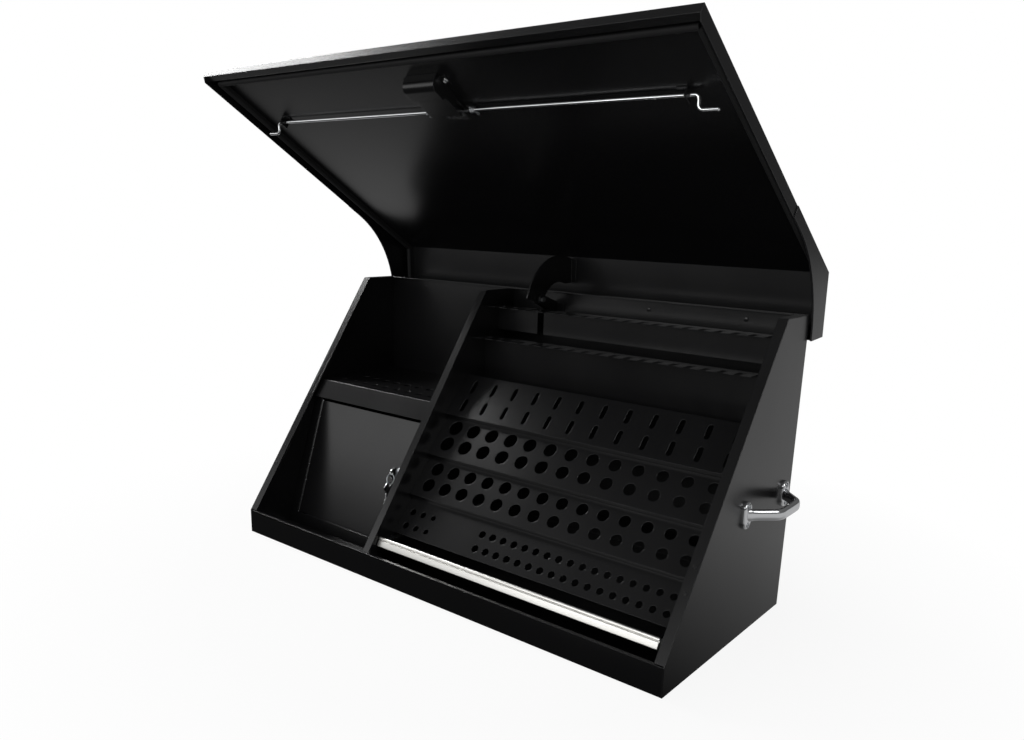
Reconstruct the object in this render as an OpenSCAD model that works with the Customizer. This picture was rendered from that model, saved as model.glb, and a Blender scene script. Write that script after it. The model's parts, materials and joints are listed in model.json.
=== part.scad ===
// Triangle tool chest: a folded sheet-steel case with a sloping front, tiers of
// socket holes, wrench racks, a locker with a bin above it, a shallow drawer and
// a hinged lid that two rods lock to the side walls.
// Frame: X to the right, Y to the back, Z up, origin at the centre of the base.
// The lid is drawn open, the drawer and the locker door are drawn closed.

/* [Case] */
// Width of the case across its side walls
case_w = 904; // [820:1:1100]
// Depth of the case from the front lip to the back wall
case_d = 384; // [370:1:440]
// Height of the case
case_h = 476; // [460:1:520]
// Height of the front lip
lip_h = 44; // [38:1:54]
// Depth of the flat top of the side walls
top_d = 82; // [76:1:100]
// Thickness of the steel sheet
sheet = 1.5; // [1:0.1:2]
// Width of the flange that is turned in along the rim of each side wall
rim_w = 16; // [12:1:20]
// Depth of the hem on top of the front lip
hem_d = 6; // [4:0.5:10]
// Drop of the hem behind the front lip
hem_drop = 8; // [5:0.5:14]

/* [Bin and locker] */
// Inside width of the bin and the locker at the left
bin_w = 330; // [300:1:360]
// Width of the flange on the front of the partition
part_flange = 14; // [10:1:18]
// Height of the bin shelf along the slope, from the front lip
shelf_up = 294; // [280:1:320]
// Width of the strip that is turned down at the front of the bin shelf
shelf_lip = 38; // [28:1:44]
// Distance of that strip behind the slope
shelf_inset = 8; // [5:0.5:14]
// Diameter of the screwdriver holes in the front row of the shelf
shelf_hole_d = 12; // [8:0.5:16]
// Distance from the case front to the foot of the locker front
locker_back = 86; // [78:1:96]
// Lean of the locker front from the floor
locker_tilt = 72; // [70:0.5:75]
// Width of the locker frame at the hinge side
jamb_hinge = 22; // [18:0.5:28]
// Width of the locker frame at the lock side
jamb_lock = 17; // [16.5:0.5:20]
// Depth of the return that the lock cam catches behind
jamb_return = 11; // [9:0.5:12]
// Height of the sill under the locker door
sill_h = 22; // [16:0.5:30]
// Gap round the locker door
door_gap = 2; // [1.5:0.1:3]
// Gap over the locker door, under the shelf strip
door_head = 9; // [8:0.5:14]
// Height of the locker lock over the foot of the door
lock_up = 127; // [90:1:150]
// Distance of the locker lock from the free edge of the door
lock_edge = 34; // [28:1:36]

/* [Tiers and racks] */
// Depth of the tiers behind the slope at their front edges
tier_inset = 35; // [30:0.5:40]
// Angle by which the tiers lie flatter than the slope
tier_lean = 8; // [5:0.5:10]
// Length of the lowest tier, for small sockets
tier_low = 72; // [68:1:78]
// Length of the middle tier, for medium sockets
tier_mid = 78; // [72:1:84]
// Length of the upper tier, for large sockets
tier_up = 80; // [74:1:86]
// Length of the slotted tier, for ring wrenches
tier_slot = 88; // [80:1:94]
// Diameter of the holes in the lowest tier
small_hole_d = 13; // [9:0.5:15]
// Diameter of the first and largest hole in the middle tier
mid_hole_d = 25; // [20:0.5:28]
// Diameter of the first and largest hole in the upper tier
large_hole_d = 28; // [22:0.5:31]
// Diameter of the last and smallest hole in the middle and the upper tier
least_hole_d = 18; // [15:0.5:20]
// Width of the slots in the slotted tier
wrench_slot_w = 9; // [6:0.5:11]
// Length of the slots in the slotted tier
wrench_slot_l = 26; // [18:0.5:28]
// Depth of the wrench racks from front to back
rack_d = 38; // [30:1:40]
// Distance of the rack teeth behind the slope
rack_inset = 20; // [16:1:23]
// Height of the lower rack under the top of the case
rack_low = 84; // [80:1:92]
// Height of the upper rack under the top of the case
rack_up = 30; // [28:1:34]
// Width of the gaps between the rack teeth
tooth_gap = 10; // [7:0.5:13]
// Length of the rack teeth
tooth_l = 24; // [16:0.5:26]

/* [Drawer] */
// Width of the leaning face of the drawer pull
pull_h = 17; // [14:0.5:18]
// Thickness of the drawer pull
pull_t = 4; // [3.5:0.5:5]
// Lean of the drawer pull
pull_lean = 25; // [15:1:30]
// Distance from the case front to the foot of the drawer pull
pull_back = 20; // [17:0.5:24]
// Height of the foot of the drawer pull over the lip
pull_lift = 10; // [8:0.5:11]
// Distance from the case front to the drawer tray
tray_back = 41; // [38:0.5:48]
// Height of the drawer tray
tray_h = 14.5; // [13:0.5:16]
// Depth of the drawer tray from front to back
tray_d = 300; // [240:1:315]
// Gap between the drawer and the front lip under it
drawer_lift = 3; // [2:0.5:5]
// Height of a drawer rail
rail_h = 8; // [6:0.5:9]
// Running clearance of a drawer rail in its channel
rail_clear = 0.3; // [0.2:0.05:0.6]

/* [Lid] */
// Angle of the open lid
lid_open = 87; // [60:1:90]
// Height of the outside of the lid over the rim of the case
lid_gap = 12; // [12:0.5:14]
// Distance of the lid flanges outside the side walls
lid_side = 2.5; // [1.5:0.5:4]
// Overhang of the lid in front of the lip, along the slope
lid_front = 18.5; // [14:0.5:20]
// Depth of the front flange of the lid
front_flange = 12; // [11:0.5:12]
// Width of the return on the front flange
front_return = 12; // [5:0.5:13]
// Depth of the side flanges on the main panel
side_flange = 18.5; // [16:0.5:22]
// Depth of the rear flange on the top panel
rear_flange = 40; // [36:0.5:42]
// Depth of the side flanges on the top panel
top_flange = 46.5; // [42:0.5:50]
// Radius of the curve where the side flange widens
flange_r = 196; // [150:1:205]
// Thickness of the cheek plates on the lid corners
cheek_t = 1.5; // [1:0.1:2.5]
// Length of a cheek plate in front of the bend
cheek_l = 180; // [150:1:200]
// Width of the lid seal
seal_w = 9.8; // [8:0.2:11]

/* [Hinge and stay] */
// Radius of the knuckles of the lid hinge
knuckle_r = 4; // [3.8:0.1:4.4]
// Radius of the pin of the lid hinge
pin_r = 2; // [1.5:0.1:2.5]
// Distance of the hinge pin behind the back wall
pin_back = 5; // [5:0.1:5.5]
// Height of the hinge pin under the foot of the rear flange
pin_drop = 5.5; // [5.4:0.1:7]
// Thickness of the hinge leaves
leaf_t = 1.5; // [1:0.1:1.6]
// Height of the hinge leaves
leaf_h = 24; // [20:0.5:26]
// Running clearance of the hinge pins, measured on the radius
pin_clear = 0.05; // [0.02:0.01:0.1]
// Distance of the lid stay from the partition
stay_in = 99; // [70:1:130]
// Outer radius of the quadrant of the lid stay
stay_r = 98; // [90:0.5:100]
// Inner radius of the quadrant of the lid stay
stay_inner_r = 50; // [48:0.5:54]
// Thickness of the quadrant of the lid stay
stay_t = 3; // [2:0.25:4]

/* [Latch] */
// Place of the latch rods along the slope, from the front lip
rod_up = 110; // [104:1:120]
// Radius of the latch rods
rod_r = 2.6; // [2.4:0.1:3.2]
// Travel of each latch rod
rod_travel = 14; // [10:0.5:15]
// Gap between the end of a drawn rod and the rim flange
rod_free = 4; // [2:0.5:6]
// Radius of the pins that push the rods
push_pin_r = 2.5; // [2:0.1:3]
// Length of the grip of the latch handle
grip_l = 96; // [70:1:120]
// Depth of the housing over the latch
housing_d = 24; // [20:0.5:26]

/* [Side handles] */
// Distance between the two pads of a side handle
handle_span = 140; // [110:1:150]
// Height of the side handles over the base
handle_up = 200; // [150:1:230]
// Place of the side handles behind the middle of the case
handle_back = 92; // [40:1:95]
// Stand-off of the grip from the wall
handle_out = 39; // [28:1:45]
// Height of a handle pad
pad_h = 42; // [38:1:52]

/* [Hidden] */
$fn = 48;
steel = "#1c1c1f";
zinc = "#c4c7cb";
chrome = "#d6d8dc";
alloy = "#d9d9d6";
rubber = "#0e0e10";

// Slope of the front, and the inner faces that the other pieces seat on
slope = atan2(case_h - lip_h, case_d - top_d);
slope_l = norm([case_h - lip_h, case_d - top_d]);
front_y = -case_d / 2;
back_y = case_d / 2;
wall_x = case_w / 2 - sheet;
bin_x = -wall_x;
part_x = bin_x + bin_w;
tool_x = part_x + sheet;
tool_w = wall_x - tool_x;
touch = 0.01;

// A point at distance u up the slope and n out of it, as [y, z]
function on_slope(u, n) = [front_y + u * cos(slope) - n * sin(slope), lip_h + u * sin(slope) + n * cos(slope)];
function slope_y(z) = front_y + (z - lip_h) / tan(slope);

// Bin shelf and locker front
shelf_edge = on_slope(shelf_up, -shelf_inset);
shelf_z = shelf_edge[1];
strip_foot = on_slope(shelf_up - shelf_lip, -shelf_inset);
frame_foot = sheet / tan(locker_tilt);
frame_l = (shelf_z - 2 * sheet) / sin(locker_tilt) - door_gap;
knuckle2_r = 2.9;
pin2_r = 1.5;
leaf2_t = 1.2;
door_pin_x = jamb_hinge + knuckle2_r + 0.8;
door_x = door_pin_x + knuckle2_r + 0.8;
door_w = bin_w - jamb_lock - door_gap - door_x;
door_y = sill_h + door_gap;
door_h = (strip_foot[1] - sheet - door_head) / sin(locker_tilt) - door_y;
door_knuckles = 7;
door_leaf_w = 14;
lock_x = door_x + door_w - lock_edge;
lock_y = door_y + lock_up;
barrel_r = 9;
barrel_l = jamb_return + 1;
plug_r = 6;
cam_t = 3;
cam_l = lock_edge + door_gap + sheet + 9;
cam_w = 16;
stub_r = 3;
key_t = 2;
key_hole_r = 2.6;
ring_r = 9;
wire_r = 0.8;
bow_r = 11;
head_h = 5;
bow_z = head_h + bow_r + 1.5;
bow_hole = 5;
hang = key_hole_r - wire_r - 0.2;

// Drawer
pull_x0 = tool_x + 1.5;
pull_x1 = case_w / 2 - rim_w - 7;
pull_y = front_y + pull_back;
pull_z = lip_h + pull_lift;
leg_t = 3;
leg_in = 2.2;
tray_y = front_y + tray_back;
channel_w = 9.5;
rail_t = 8;
rail_gap = 3.5;
channel_h = rail_h + 2 * rail_clear + 2 * sheet;
bracket_x = pull_x1 + 4;
tray_x0 = tool_x + rail_gap + rail_t;
tray_x1 = bracket_x - rail_gap - rail_t;
tray_z = lip_h + drawer_lift + 0.5;
rail_z = tray_z + (tray_h - rail_h) / 2;
channel_l = tray_d - 6;

// Tiers: each front edge lies on one plane, parallel to the slope
tier_ls = [tier_low, tier_mid, tier_up, tier_slot];
tier_room = 7;
tier_first = (tray_z + tray_h + tier_room - lip_h + tier_inset * cos(slope)) / sin(slope);
function tier_u(i) = i == 0 ? tier_first : tier_u(i - 1) + tier_ls[i - 1] / cos(tier_lean);
function tier_step(i) = i == 0 ? 3.5 : tier_ls[i - 1] * tan(tier_lean);
side_room = 30;

// Racks
rack_low_z = case_h - rack_low;
rack_up_z = case_h - rack_up;
rack_low_panel = 92;
rack_up_panel = 46;
stay_slot = stay_t + 11;

// Lid, drawn shut and then turned about the hinge pin
lid_half = case_w / 2 + lid_side + sheet;
lid_top_z = case_h + lid_gap;
flange_foot_z = lid_top_z - rear_flange;
pin_y = back_y + pin_back;
pin_z = flange_foot_z - pin_drop;
lid_back_y = pin_y + pin_back + sheet;
bend_u = (lid_top_z - lip_h - lid_gap * cos(slope)) / sin(slope);
bend_out = on_slope(bend_u, lid_gap);
bend_in = on_slope(
    (lid_top_z - sheet - lip_h - (lid_gap - sheet) * cos(slope)) / sin(slope), lid_gap - sheet);
curve_n = lid_gap - side_flange - flange_r;
side_foot_z = lid_top_z - top_flange;
curve_z = side_foot_z - flange_r;
curve_c = on_slope((curve_z - lip_h - curve_n * cos(slope)) / sin(slope), curve_n);
curve_steps = 14;
seal_h = lid_gap - sheet - 0.8;
seal_x = case_w / 2 - rim_w / 2;
hinge_half = wall_x - 10;
hinge_knuckles = 13;
knuckle_gap = 0.5;
rivet_r = 2.5;
rivet_xs = [for (i = [-0.8, -0.4, 0.4, 0.8]) i * hinge_half];
rivet_z = pin_z + pin_drop + leaf_h / 2;

// Lid stay
stay_x = tool_x + stay_in;
stay_foot_w = 24;
stay_foot_t = 2.5;
stay_seat = lid_top_z - sheet - pin_z;
stay_from = 180.5 - asin(stay_seat / stay_r);
stay_to = 165 + lid_open;
stay_pad_r = 60;
stay_pad_angle = 159;
stay_pad = [pin_y + stay_pad_r * cos(stay_pad_angle), pin_z + stay_pad_r * sin(stay_pad_angle)];
pad_r = 8;
pad_t = 2.5;
pad_clear = 0.3;

// Latch
rod_lift = 3.7;
rod_n = lid_gap - sheet - rod_r - rod_lift;
crank_t = 2.5;
crank_n = rod_n + 2.2;
crank_arm = rod_travel / sqrt(2);
crank_rest = 45;
yoke_t = 3;
yoke_slack = 0.5;
yoke_l = 26;
fork_out = crank_arm + push_pin_r + 5;
rod_end = case_w / 2 - rim_w - rod_free;
rod_tip_l = 28;
rod_bend_x = rod_end - rod_tip_l;
rod_bend_r = 6;
rod_tip_n = -10;
rod_tip_u = 10;
keeper_n = rod_tip_n + rod_r + 0.8;
guide_x = rod_bend_x - 16;
guide_t = 2;
guide_l = 17;
guide_foot = 14;
guide_edge = 3.5;
housing_x = 30;
housing_front = 72;
housing_back = -2;
housing_r = 12;
housing_step = 6;
housing_step_u = -43;
foot_w = 11;
foot_from = 6;
foot_l = 18;
fork_room = 0.8;
spindle_r = 7;
crank_stub_r = 4;
rose_r = 30;
rose_t = 3;
hub_r = 13;
hub_h = 16;
grip_r = 6.5;
latch_plug_r = 5.5;

// Side handles
pad_w = 23;
handle_pad_t = 6;
bar_h = 16;
bar_t = 10;
bar_bend_r = 22;
screw_r = 2.5;
screw_head_r = 4.6;
keeper_head_r = 3;
screw_pitch = pad_h - 14;
leg_l = (handle_out - bar_bend_r * (1 - cos(45))) / sin(45);

// Frames and shapes that repeat

// Extrudes a [y, z] outline along X
module along_x(length) {
    rotate([90, 0, 90]) linear_extrude(length) children();
}

// Local Y runs up the slope and local Z out of it
module slope_pose() {
    translate([0, front_y, lip_h]) rotate([slope, 0, 0]) children();
}

// Turns what is drawn for the shut lid to the open lid
module lid_pose() {
    translate([0, pin_y, pin_z]) rotate([-lid_open, 0, 0]) translate([0, -pin_y, -pin_z]) children();
}

// Local X starts at the left wall, local Y runs up the locker front, local Z out of it
module locker_pose() {
    translate([bin_x, front_y + locker_back, sheet]) rotate([locker_tilt, 0, 0]) children();
}

// Local Y runs up the tread of one tier and local Z out of it
module tier_pose(i) {
    slope_pose() translate([0, tier_u(i), -tier_inset]) rotate([-tier_lean, 0, 0]) children();
}

// Local origin on the outside of the lid, where the latch spindle passes
module latch_pose() {
    lid_pose() slope_pose() translate([0, rod_up, 0]) children();
}

module stadium(length, radius) {
    translate([-length / 2, -radius]) square([length, 2 * radius]);
    for (side = [-1, 1]) translate([side * length / 2, 0]) circle(radius);
}

module tube(length, outer, inner) {
    difference() {
        cylinder(h = length, r = outer);
        translate([0, 0, -1]) cylinder(h = length + 2, r = inner);
    }
}

// Case

module side_wall(side) {
    mirror([side < 0 ? 1 : 0, 0, 0]) {
        translate([wall_x, 0, 0]) along_x(sheet) polygon([
            [front_y, 0], [back_y, 0], [back_y, case_h], [back_y - top_d, case_h], [front_y, lip_h]]);
        difference() {
            union() {
                slope_pose() translate([case_w / 2 - rim_w, sheet * 1.4, -sheet])
                    cube([rim_w - touch, slope_l - sheet * 1.4, sheet]);
                translate([case_w / 2 - rim_w, back_y - top_d, case_h - sheet])
                    cube([rim_w - touch, top_d - sheet, sheet]);
            }
            slope_pose() for (u = keeper_screw_us())
                translate([seal_x, u, -sheet - 1]) cylinder(h = sheet + 2, r = screw_r);
        }
    }
}

module left_side() color(steel) side_wall(-1);

module right_side() color(steel) side_wall(1);

module back_panel() color(steel) {
    difference() {
        translate([-wall_x, back_y - sheet, sheet]) cube([2 * wall_x, sheet, case_h - sheet]);
        rivet_holes();
    }
    translate([-case_w / 2 + rim_w, back_y - rim_w, case_h - sheet])
        cube([case_w - 2 * rim_w, rim_w - sheet + touch, sheet]);
}

module floor_panel() color(steel)
    translate([-wall_x, front_y + sheet, 0]) cube([2 * wall_x, case_d - sheet, sheet]);

module front_lip() color(steel) translate([-wall_x, 0, 0]) along_x(2 * wall_x) polygon([
    [front_y, 0], [front_y + sheet, 0], [front_y + sheet, lip_h - sheet],
    [front_y + hem_d - sheet, lip_h - sheet], [front_y + hem_d - sheet, lip_h - hem_drop],
    [front_y + hem_d, lip_h - hem_drop], [front_y + hem_d, lip_h], [front_y, lip_h]]);

module partition() color(steel) {
    nose_y = front_y + hem_d + 0.5;
    foot_u = 2;
    nose_u = (nose_y - front_y) / cos(slope);
    roof_z = case_h - sheet;
    edge_in = sheet / 2;
    translate([part_x, 0, 0]) along_x(sheet) polygon([
        [nose_y, sheet], [back_y - sheet, sheet], [back_y - sheet, roof_z],
        [slope_y(roof_z) + edge_in / sin(slope), roof_z],
        [nose_y, on_slope(nose_u, 0)[1] - edge_in / cos(slope)]]);
    slope_pose() translate([part_x + sheet - part_flange, foot_u, -sheet])
        cube([part_flange, slope_l - foot_u - 3 * sheet, sheet]);
}

// Bin and locker

module bin_shelf() color(steel) {
    holes = 9;
    inner_n = -shelf_inset - sheet;
    inner_u = (shelf_z - sheet - lip_h - inner_n * cos(slope)) / sin(slope);
    difference() {
        translate([bin_x, 0, 0]) along_x(bin_w) polygon([
            shelf_edge, [back_y - sheet, shelf_z], [back_y - sheet, shelf_z - sheet],
            on_slope(inner_u, inner_n), on_slope(shelf_up - shelf_lip, inner_n), strip_foot]);
        for (row = [0, 1], i = [0:holes - 1])
            translate([bin_x + 40 + (i + row / 2) * (bin_w - 90) / (holes - 1),
                shelf_edge[0] + 32 + 44 * row, shelf_z - sheet - 1])
                cylinder(h = sheet + 2, d = shelf_hole_d + 3 * row);
    }
}

module locker_frame() color(steel) locker_pose() {
    difference() {
        translate([0, frame_foot, -sheet]) cube([bin_w, frame_l - frame_foot, sheet]);
        translate([jamb_hinge, sill_h, -sheet - 1])
            cube([bin_w - jamb_hinge - jamb_lock, frame_l, sheet + 2]);
    }
    translate([bin_w - jamb_lock, sill_h, -jamb_return])
        cube([sheet, frame_l - sill_h - sheet, jamb_return - sheet / 2]);
    translate([door_x + 20, sill_h - 8, -2 * sheet]) cube([door_w - 40, 8 + door_gap - 0.5, sheet + touch]);
    translate([door_x + 20, sill_h + door_gap - 1, -2 * sheet - 0.5]) cube([door_w - 40, 7, sheet]);
}

// The knuckles of one leaf of a hinge that runs along local Z
module knuckles(count, length, radius, bore, first) {
    pitch = length / count;
    for (i = [first:2:count - 1]) translate([0, 0, i * pitch + knuckle_gap / 2])
        tube(pitch - knuckle_gap, radius, bore);
}

// Tabs that tie those knuckles to the plate of their leaf
module knuckle_tabs(count, length, first, size) {
    pitch = length / count;
    for (i = [first:2:count - 1]) translate([0, 0, i * pitch + knuckle_gap / 2])
        cube([size[0], size[1], pitch - knuckle_gap]);
}

module locker_leaf(first, plate_x, plate_w, tab_x, tab_w) {
    leaf_z = -sheet / 2 - leaf2_t;
    translate([door_pin_x, door_y, -sheet / 2]) rotate([-90, 0, 0]) difference() {
        union() {
            knuckles(door_knuckles, door_h, knuckle2_r, pin2_r + pin_clear, first);
            translate([tab_x, sheet / 2, 0])
                knuckle_tabs(door_knuckles, door_h, first, [tab_w, leaf2_t]);
            translate([plate_x, sheet / 2, knuckle_gap / 2])
                cube([plate_w, leaf2_t, door_h - knuckle_gap]);
        }
        translate([0, 0, -1]) cylinder(h = door_h + 2, r = pin2_r + pin_clear);
    }
}

module locker_case_leaf() color(steel) locker_pose()
    locker_leaf(0, -door_leaf_w - 4, door_leaf_w, -door_leaf_w + 2, door_leaf_w - 3);

module locker_door_leaf() color(steel) locker_pose()
    locker_leaf(1, 4, door_leaf_w, 1, door_leaf_w - 3);

module locker_hinge_pin() color(zinc) locker_pose()
    translate([door_pin_x, door_y - 1, -sheet / 2]) rotate([-90, 0, 0])
        cylinder(h = door_h + 2, r = pin2_r);

module locker_door() color(steel) locker_pose() difference() {
    union() {
        translate([door_x, door_y, -sheet]) cube([door_w, door_h, sheet]);
        translate([door_x + door_w - sheet, door_y + 4, -jamb_return + 3])
            cube([sheet, door_h - 8, jamb_return - 3 - sheet / 2]);
        translate([door_x + 20, door_y + door_h - sheet, -jamb_return + 3])
            cube([door_w - 24, sheet, jamb_return - 3 - sheet / 2]);
    }
    translate([lock_x, lock_y, -jamb_return]) cylinder(h = jamb_return + 2, r = barrel_r + 0.1);
}

// Local origin on the face of the locker door, at the lock
module lock_pose() {
    locker_pose() translate([lock_x, lock_y, 0]) children();
}

module lock_barrel() color(zinc) lock_pose() difference() {
    union() {
        translate([0, 0, -barrel_l]) cylinder(h = barrel_l + 1, r = barrel_r);
        cylinder(h = head_h - 1.5, r = barrel_r + 3);
        translate([0, 0, head_h - 1.5]) cylinder(h = 1.5, r1 = barrel_r + 3, r2 = barrel_r + 1.5);
    }
    translate([0, 0, -barrel_l - 1]) cylinder(h = barrel_l + head_h + 2, r = plug_r + pin_clear);
}

module lock_nut() color(zinc) lock_pose() translate([0, 0, -sheet - 4]) difference() {
    cylinder(h = 4, r = barrel_r + 4.5, $fn = 6);
    translate([0, 0, -1]) cylinder(h = 6, r = barrel_r + 0.1);
}

module lock_plug() color(zinc) lock_pose() difference() {
    union() {
        translate([0, 0, -barrel_l - 0.5]) cylinder(h = barrel_l + 0.5 + head_h, r = plug_r);
        translate([0, 0, -barrel_l - 0.5 - cam_t - 3]) cylinder(h = cam_t + 4, r = stub_r);
    }
    translate([-key_t / 2 - 0.15, -3.8, -barrel_l + 3]) cube([key_t + 0.3, 7.6, barrel_l + head_h]);
}

module lock_cam() color(zinc) lock_pose() translate([0, 0, -barrel_l - 0.5 - cam_t]) difference() {
    linear_extrude(cam_t) rotate(90) translate([(cam_l - cam_w / 2) / 2, 0])
        stadium(cam_l - cam_w / 2, cam_w / 2);
    translate([0, 0, -1]) cylinder(h = cam_t + 2, r = stub_r + pin_clear);
}

// A flat key that points along local -Z, with the hole of its bow at the origin
module flat_key(blade_l) {
    rotate([90, 0, 90]) translate([0, 0, -key_t / 2]) linear_extrude(key_t) difference() {
        union() {
            translate([0, bow_hole - bow_r]) circle(bow_r);
            translate([-3.5, bow_hole - 2 * bow_r - blade_l + 2]) square([7, blade_l]);
        }
        circle(key_hole_r);
    }
}

module lock_key() color(chrome) lock_pose()
    translate([0, 0, bow_z + bow_r - bow_hole]) flat_key(head_h + 6);

module key_ring() color(zinc) lock_pose()
    translate([0, -hang - ring_r, bow_z + bow_r - bow_hole])
        rotate_extrude() translate([ring_r, 0]) circle(wire_r, $fn = 20);

module spare_key() color(chrome) lock_pose()
    translate([0, -2 * hang - 2 * ring_r, bow_z + bow_r - bow_hole]) rotate([-90, 0, 0]) flat_key(26);

// Tiers and racks

module tier_sheet(i) {
    translate([tool_x, 0, -sheet]) cube([tool_w, tier_ls[i], sheet]);
    translate([tool_x, 0, -sheet - tier_step(i)]) cube([tool_w, sheet, tier_step(i) + touch]);
}

// A row of holes that shrink evenly from the first to the last
module hole_row(count, from_x, to_x, y, first_d, last_d) {
    for (i = [0:count - 1])
        translate([from_x + (to_x - from_x) * i / (count - 1), y, -sheet - 1])
            cylinder(h = sheet + 2, d = first_d + (last_d - first_d) * i / (count - 1));
}

module lower_tier() color(steel) tier_pose(0) difference() {
    tier_sheet(0);
    for (y = [0.25, 0.62]) {
        hole_row(17, tool_x + tool_w * 0.315, wall_x - side_room - 8, y * tier_low, small_hole_d, small_hole_d - 2);
        hole_row(3, tool_x + 20, tool_x + 68, y * tier_low, small_hole_d - 1, small_hole_d - 3);
    }
}

module middle_tier() color(steel) tier_pose(1) difference() {
    tier_sheet(1);
    for (y = [0.32, 0.74])
        hole_row(14, tool_x + side_room, wall_x - side_room - 8, y * tier_mid, mid_hole_d, least_hole_d);
}

module upper_tier() color(steel) tier_pose(2) difference() {
    tier_sheet(2);
    for (y = [0.34, 0.76])
        hole_row(13, tool_x + side_room, wall_x - side_room - 8, y * tier_up, large_hole_d, least_hole_d);
}

module slotted_tier() color(steel) tier_pose(3) difference() {
    tier_sheet(3);
    count = 12;
    for (y = [0.27, 0.72], i = [0:count - 1])
        translate([tool_x + side_room + (tool_w - 2 * side_room) * i / (count - 1), y * tier_slot, -sheet - 1])
            linear_extrude(sheet + 2) rotate(90) stadium(wrench_slot_l - wrench_slot_w, wrench_slot_w / 2);
}

// A toothed shelf with a panel turned down at its back
module rack(z, panel_h, teeth) {
    y0 = slope_y(z) + rack_inset;
    pitch = (tool_w - 24) / teeth;
    difference() {
        translate([tool_x, y0, z - sheet]) cube([tool_w, rack_d, sheet]);
        for (i = [0:teeth - 1]) translate([tool_x + 12 + (i + 0.5) * pitch, y0 - 1, z - sheet - 1]) {
            translate([-tooth_gap / 2, 0, 0]) cube([tooth_gap, tooth_l - tooth_gap / 2 + 1, sheet + 2]);
            translate([0, tooth_l - tooth_gap / 2 + 1, 0]) cylinder(h = sheet + 2, d = tooth_gap);
        }
    }
    translate([tool_x, y0 + rack_d - sheet, z - panel_h]) cube([tool_w, sheet, panel_h - sheet + touch]);
}

module lower_rack() color(steel) rack(rack_low_z, rack_low_panel, 20);

module upper_rack() color(steel) difference() {
    rack(rack_up_z, rack_up_panel, 20);
    translate([stay_x - stay_slot / 2, front_y, case_h - rack_up - rack_up_panel - 1])
        cube([stay_slot, case_d, rack_up_panel + 2]);
}

// Drawer

// A channel open towards +X, with its web on the plane X = 0
module channel_section() {
    square([sheet, channel_h]);
    square([channel_w, sheet]);
    translate([0, channel_h - sheet]) square([channel_w, sheet]);
}

module drawer_channel() {
    translate([0, tray_y + channel_l, rail_z - rail_clear - sheet]) rotate([90, 0, 0])
        linear_extrude(channel_l) channel_section();
}

module left_channel() color(zinc) translate([tool_x, 0, 0]) drawer_channel();

module right_channel() color(zinc) translate([bracket_x, 0, 0]) mirror([1, 0, 0]) drawer_channel();

module channel_bracket() color(steel) {
    bracket_h = channel_h + 6;
    translate([bracket_x, tray_y + channel_l, rail_z - rail_clear - sheet - 3]) rotate([90, 0, 0])
        linear_extrude(channel_l) {
            square([sheet, bracket_h]);
            square([wall_x - bracket_x, sheet]);
            translate([0, bracket_h - sheet]) square([wall_x - bracket_x, sheet]);
        }
}

module drawer_rail() {
    translate([rail_gap, tray_y, rail_z]) cube([rail_t, tray_d - 10, rail_h]);
}

module left_rail() color(zinc) translate([tool_x, 0, 0]) drawer_rail();

module right_rail() color(zinc) translate([bracket_x, 0, 0]) mirror([1, 0, 0]) drawer_rail();

module drawer_tray() color(steel) difference() {
    translate([tray_x0, tray_y, tray_z]) cube([tray_x1 - tray_x0, tray_d, tray_h]);
    translate([tray_x0 + sheet, tray_y + sheet, tray_z + sheet])
        cube([tray_x1 - tray_x0 - 2 * sheet, tray_d - 2 * sheet, tray_h]);
}

// An extruded pull: a leaning band with a groove and a rounded ridge along its top,
// on a level leg that meets the tray
module drawer_pull() color(alloy) translate([pull_x0, pull_y, pull_z]) along_x(pull_x1 - pull_x0) {
    ridge = pull_h * 0.24;
    groove = 1.6;
    translate([leg_in, 0]) square([tray_y - pull_y - leg_in, leg_t]);
    rotate(-pull_lean) difference() {
        union() {
            square([pull_t, pull_h - ridge / 2]);
            translate([ridge / 2, pull_h - ridge / 2]) circle(ridge / 2);
            translate([ridge / 2, pull_h - ridge]) square([pull_t - ridge / 2, ridge]);
        }
        translate([0, pull_h - ridge - groove / 2]) circle(groove);
    }
}

// Lid

// Outline of the folded sheet of the lid, from the front return to the rear flange
module lid_section() {
    polygon([
        on_slope(-lid_front, lid_gap), bend_out,
        [lid_back_y, lid_top_z], [lid_back_y, flange_foot_z],
        [lid_back_y - sheet, flange_foot_z], [lid_back_y - sheet, lid_top_z - sheet],
        bend_in, on_slope(-lid_front + sheet, lid_gap - sheet),
        on_slope(-lid_front + sheet, lid_gap - front_flange + sheet),
        on_slope(-lid_front + front_return, lid_gap - front_flange + sheet),
        on_slope(-lid_front + front_return, lid_gap - front_flange),
        on_slope(-lid_front, lid_gap - front_flange)]);
}

// Edge of the side flange, curved where it widens towards the back
function flange_curve() = [for (i = [0:curve_steps]) let (a = 90 + slope * i / curve_steps)
    curve_c + flange_r * [cos(a), sin(a)]];

module side_flange_outline() {
    polygon(concat(
        [on_slope(-lid_front, lid_gap), bend_out, [lid_back_y, lid_top_z], [lid_back_y, side_foot_z]],
        flange_curve(),
        [on_slope(-lid_front + side_flange - front_flange, lid_gap - side_flange),
         on_slope(-lid_front, lid_gap - front_flange)]));
}

module lid_shell() color(steel) lid_pose() difference() {
    union() {
        translate([-lid_half, 0, 0]) along_x(2 * lid_half) lid_section();
        for (x = [-lid_half, lid_half - sheet]) translate([x, 0, 0]) along_x(sheet) side_flange_outline();
    }
    slope_pose() translate([0, rod_up, lid_gap - sheet - 1]) cylinder(h = sheet + 2, r = spindle_r + 0.5);
}

module cheek() {
    intersection() {
        along_x(cheek_t) side_flange_outline();
        slope_pose() translate([-1, bend_u - cheek_l, -case_h]) cube([cheek_t + 2, case_h * 2, case_h * 2]);
    }
}

module left_cheek() color(steel) lid_pose() translate([-lid_half - cheek_t, 0, 0]) cheek();

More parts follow.
